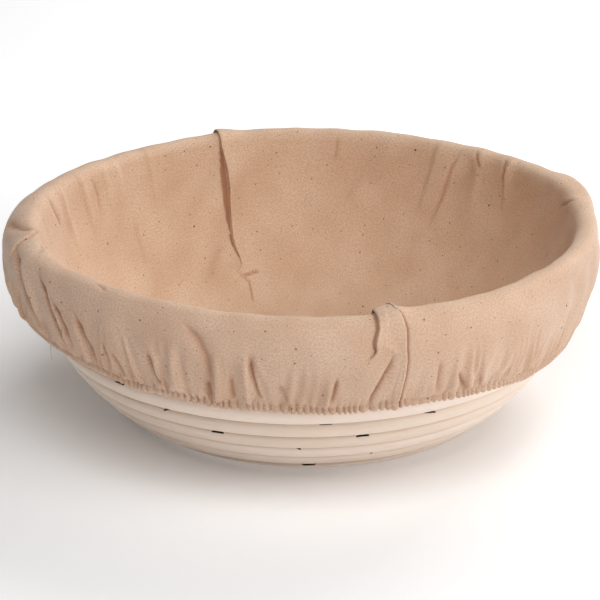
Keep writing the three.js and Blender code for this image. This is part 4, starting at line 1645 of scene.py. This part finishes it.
CREASES = (
    Crease(((105.5, -71.0), (108.7, -72.0), (111.9, -73.3)), 1.2, 0.7, 0.5, 0.6),
    Crease(((111.6, -72.6), (109.6, -75.9), (109.9, -81.9), (110.5, -88.0)), 0.9, 0.6, 0.5),
    Crease(((115.0, -54.0), (118.5, -64.0), (122.0, -72.0)), 1.1, 3.2, 0.8),
    Crease(((-74.0, 20.0), (-74.3, 24.0), (-75.2, 28.0), (-76.2, 33.3), (-77.2, 39.0), (-77.6, 44.0)),
           1.9, 1.0, 0.5),
    Crease(((-170.5, -6.5), (-165.5, -1.5), (-163.2, 1.4), (-162.5, 4.0), (-161.5, 7.0), (-159.5, 12.0)),
           1.0, 0.55, 0.3, 0.5),
    Crease(((-177.0, 7.5), (-172.5, 5.0), (-169.6, 2.4), (-168.4, -0.5), (-168.0, -3.0)), 1.8, 2.2),
    Crease(((-160.5, -4.0), (-157.0, -2.0), (-154.5, 1.0)), 0.9, 1.3, 0.4),
    Crease(((-107.4, 33.0), (-107.4, 39.0), (-107.2, 43.0)), 1.9, 1.1, 0.5),
    Crease(((-154.8, 7.3), (-150.5, 14.1), (-147.8, 20.9), (-145.5, 28.5)), -1.2, 2.0),
    Crease(((-94.1, 30.9), (-92.8, 37.9), (-92.4, 42.0)), 0.9, 1.4),
    Crease(((-76.0, 14.1), (-74.5, 17.3), (-73.3, 18.9)), -0.9, 1.3),
    Crease(((-161.2, 7.0), (-156.8, 8.6), (-153.9, 14.4), (-151.3, 20.4), (-149.6, 24.6), (-147.4, 30.0)),
           3.3, 1.8, 1.4),
    Crease(((-148.7, 7.2), (-144.7, 12.0), (-142.2, 19.9), (-140.6, 27.0), (-139.7, 36.4)),
           2.9, 1.5, 1.2),
    Crease(((-142.0, 14.4), (-139.7, 19.4), (-138.1, 26.1), (-137.5, 32.6)), 2.5, 1.3, 1.0),
    Crease(((-135.3, 17.0), (-133.7, 23.5), (-132.6, 29.9), (-132.4, 36.0)), 3.1, 1.5, 1.2),
    Crease(((-128.6, 25.7), (-127.9, 30.1), (-127.6, 34.5)), 1.8, 0.9, 0.5),
    Crease(((-126.6, 27.7), (-125.6, 34.2), (-124.7, 39.0)), 1.1, 1.0, 0.4),
    Crease(((-132.5, 0.7), (-130.5, 1.8), (-129.3, 2.9)), 0.8, 1.0, 0.4),
    Crease(((-118.2, 23.3), (-118.1, 27.5), (-117.8, 31.9), (-117.1, 35.2), (-116.6, 38.0)),
           3.4, 1.4, 0.8),
    Crease(((-111.0, 8.2), (-108.2, 13.7), (-106.9, 19.7), (-106.4, 27.2), (-107.0, 34.0)),
           1.6, 2.2, 0.8),
    Crease(((-99.0, 19.0), (-98.6, 26.7), (-97.8, 35.2), (-96.9, 40.9)), 2.8, 1.2, 1.1),
    Crease(((-102.5, 28.0), (-102.6, 37.0), (-102.4, 42.0)), 1.7, 1.1, 0.5),
    Crease(((-83.7, 28.0), (-84.2, 34.6), (-84.7, 41.0)), 2.1, 0.9, 0.9),
    Crease(((-64.8, 24.9), (-64.8, 31.3), (-64.4, 40.9)), 1.5, 1.0, 0.6),
    Crease(((-60.6, 32.0), (-59.2, 38.1), (-57.8, 43.0)), 2.0, 0.9, 0.7),
    Crease(((-55.2, 36.0), (-54.7, 41.0), (-54.0, 46.0)), 1.1, 0.9, 0.4),
    Crease(((52.9, -4.7), (54.6, -13.2), (56.0, -27.8), (58.0, -43.1)), 0.9, 1.3, 0.9),
    Crease(((48.9, -2.6), (47.6, -6.4), (46.1, -10.5)), 0.9, 1.1, 0.5),
    Crease(((39.6, -2.0), (38.9, -8.0), (38.9, -14.0)), 1.0, 1.0, 0.7),
    Crease(((83.9, -5.0), (84.3, -12.4), (84.5, -17.0)), 0.6, 1.2, 0.5),
    Crease(((7.5, -2.0), (9.8, -6.8), (13.5, -11.0)), 0.8, 0.8, 0.5),
    Crease(((139.0, -33.0), (139.5, -46.0), (140.0, -58.0)), 0.6, 1.8, 0.4),
    Crease(((150.4, -7.0), (149.2, -17.0), (149.4, -25.0)), 0.7, 1.4, 0.4),
    Crease(((171.4, -4.0), (170.4, -11.3), (168.5, -20.0)), 1.0, 1.5, 0.5),
    Crease(((77.5, -24.0), (80.0, -31.4), (82.0, -38.0)), 0.5, 2.6, 0.3),
)
FOLDS = (
    Fold(Face.LINING, 131.6, -0.5, 66.0, 2.0, 1.1, 0.4),
    Fold(Face.LINING, 141.6, -1.5, 36.0, 2.4, 1.0, -0.3),
    Fold(Face.LINING, 146.0, -1.0, 30.0, 2.4, 0.8, 0.2),
    Fold(Face.LINING, 154.9, -2.0, 34.0, 2.4, 1.2, 0.4),
    Fold(Face.LINING, 164.8, -4.0, 40.0, 2.6, 1.2, 0.2),
    Fold(Face.LINING, 58.5, 4.0, 46.0, 3.6, 1.3, 0.5),
    Fold(Face.LINING, 46.5, 1.0, 36.0, 3.2, 1.0, -0.2),
    Fold(Face.LINING, 37.6, -0.3, 26.0, 1.9, 1.4, 0.5),
    Fold(Face.LINING, 70.0, 8.0, 40.0, 5.0, 1.0, 0.0),
    Fold(Face.CUFF, -113.6, 1.0, 34.0, 2.4, 1.7, 0.3),
    Fold(Face.CUFF, -105.4, 0.3, 30.0, 2.4, 1.7, -0.3),
    Fold(Face.CUFF, -100.1, 0.0, 34.0, 2.0, 1.7, -0.2),
    Fold(Face.CUFF, -85.4, 1.2, 22.0, 1.8, 1.5, 0.2),
    Fold(Face.CUFF, -61.4, 0.0, 30.0, 1.6, 1.3, -0.3),
    Fold(Face.CUFF, -66.0, 1.5, 20.0, 2.0, 1.0, 0.2),
)


# Studio


@dataclass(frozen=True)
class Lamp:
    """Square soft light that faces the basket, with its degrees round the axis and above the horizon."""

    name: str
    azimuth: float
    elevation: float
    watts: float


@dataclass
class Studio:
    """Pale floor, soft light from the right, and the camera of the photograph."""

    target: Triple = (-3.32 * MM, 0.0, 43.33 * MM)
    distance: float = 1.0
    elevation: float = math.radians(21.76)
    turn: float = math.radians(1.3)
    focal_pixels: float = 2265.0
    image_pixels: float = 600.0
    sensor: float = 36.0
    floor_size: float = 40.0
    floor_drop: float = 0.2 * MM
    floor_light: Colour = (250, 250, 250)
    floor_dark: Colour = (246, 246, 246)
    floor_glow: float = 0.12
    near_glow: Triple = (0.15, 0.4, 0.22)
    far_glow: Triple = (0.6, 1.8, 0.6)
    ambient: float = 0.02
    light_distance: float = 1.3
    light_size: float = 0.7
    lamps: tuple[Lamp, ...] = (
        Lamp("back_right", 60.0, 38.0, 8.2),
        Lamp("key_right", -30.0, 38.0, 2.4),
        Lamp("low_right", 0.0, 14.0, 3.4),
        Lamp("low_front", -60.0, 14.0, 3.0),
        Lamp("high_right", -45.0, 64.0, 3.0),
        Lamp("high_front", -90.0, 64.0, 5.0),
        Lamp("high_left", -135.0, 64.0, 1.5),
    )

    def place_camera(self) -> None:
        """Puts the camera where the photograph was taken from."""
        back = Vector((0.0, -math.cos(self.elevation), math.sin(self.elevation)))
        right = Vector((1.0, 0.0, 0.0))
        up = right.cross(-back)
        data = bpy.data.cameras.new("photo_camera")
        data.sensor_width = self.sensor
        data.lens = self.focal_pixels / self.image_pixels * self.sensor
        data.clip_start = 0.01
        camera = bpy.data.objects.new("photo_camera", data)
        place = Matrix((right, up, back)).transposed().to_4x4()
        place.translation = Vector(self.target) + self.distance * back
        camera.matrix_world = Matrix.Rotation(self.turn, 4, "Z") @ place
        bpy.context.scene.collection.objects.link(camera)
        bpy.context.scene.camera = camera

    def place_lamp(self, lamp: Lamp) -> None:
        """Adds a light."""
        data = bpy.data.lights.new(lamp.name, "AREA")
        data.size = self.light_size
        data.energy = lamp.watts
        light = bpy.data.objects.new(lamp.name, data)
        a, e = math.radians(lamp.azimuth), math.radians(lamp.elevation)
        aim = Vector((math.cos(e) * math.cos(a), math.cos(e) * math.sin(a), math.sin(e)))
        light.location = Vector(self.target) + self.light_distance * aim
        light.rotation_euler = (-aim).to_track_quat("-Z", "Y").to_euler()
        bpy.context.scene.collection.objects.link(light)

    def build_floor(self) -> None:
        """Adds the pale floor, which glows a little more away from the basket."""
        half = self.floor_size / 2
        corners = np.array([[(x, y, -self.floor_drop) for y in (-half, half)] for x in (-half, half)])
        floor = grid_object("floor", corners[::-1], corners[::-1, :, :2], closed_columns=False)
        shader = Shader("pale_floor")
        soft = shader.noise(shader.uv(), (3.0, 3.0, 1.0), 2.0)
        shader.set(Base_Color=shader.mix(soft, rgba(self.floor_light), rgba(self.floor_dark)), Roughness=0.9)
        parts = shader.node("SeparateXYZ", {"Vector": shader.uv()})
        squares = [shader.math("POWER", parts.outputs[k], 2.0) for k in range(2)]
        away = shader.math("SQRT", shader.math("ADD", *squares))
        glow: object = self.floor_glow
        for start, end, gain in (self.near_glow, self.far_glow):
            glow = shader.math("MULTIPLY_ADD", shader.ramp(away, start, end), gain, glow)
        shader.set(Emission_Color=(1.0, 1.0, 1.0, 1.0), Emission_Strength=glow)
        floor.data.materials.append(shader.material)

    def build(self) -> None:
        """Builds floor, light and camera."""
        scene = bpy.context.scene
        scene.view_settings.view_transform = "Standard"
        world = bpy.data.worlds.new("studio")
        world.use_nodes = True
        background = world.node_tree.nodes["Background"]
        background.inputs["Color"].default_value = (1.0, 1.0, 1.0, 1.0)
        background.inputs["Strength"].default_value = self.ambient
        scene.world = world
        self.build_floor()
        for lamp in self.lamps:
            self.place_lamp(lamp)
        self.place_camera()


def main() -> None:
    """Builds the basket, its liner and the studio."""
    logging.basicConfig(level=logging.INFO, format="%(name)s: %(message)s")
    bowl = BowlShape()
    CaneWork(bowl, CaneFinish()).build()
    StapleRows(bowl, StapleFinish(), seen=SEEN_STAPLES).build()
    elastic = ThreadFinish(name="covered_elastic", light=(238, 232, 222), dark=(214, 204, 190), twist=0.9 * MM)
    pleats = (BACK_PLEAT, FRONT_PLEAT_LEFT, FRONT_PLEAT_RIGHT)
    openings = (BACK_OPENING, FRONT_LINE_LEFT, FRONT_LINE_RIGHT)
    ClothLiner(bowl, ClothFinish(), ThreadFinish(), elastic, pleats=pleats, openings=openings, creases=CREASES,
               folds=FOLDS).build()
    Studio().build()


if __name__ == "__main__":
    main()
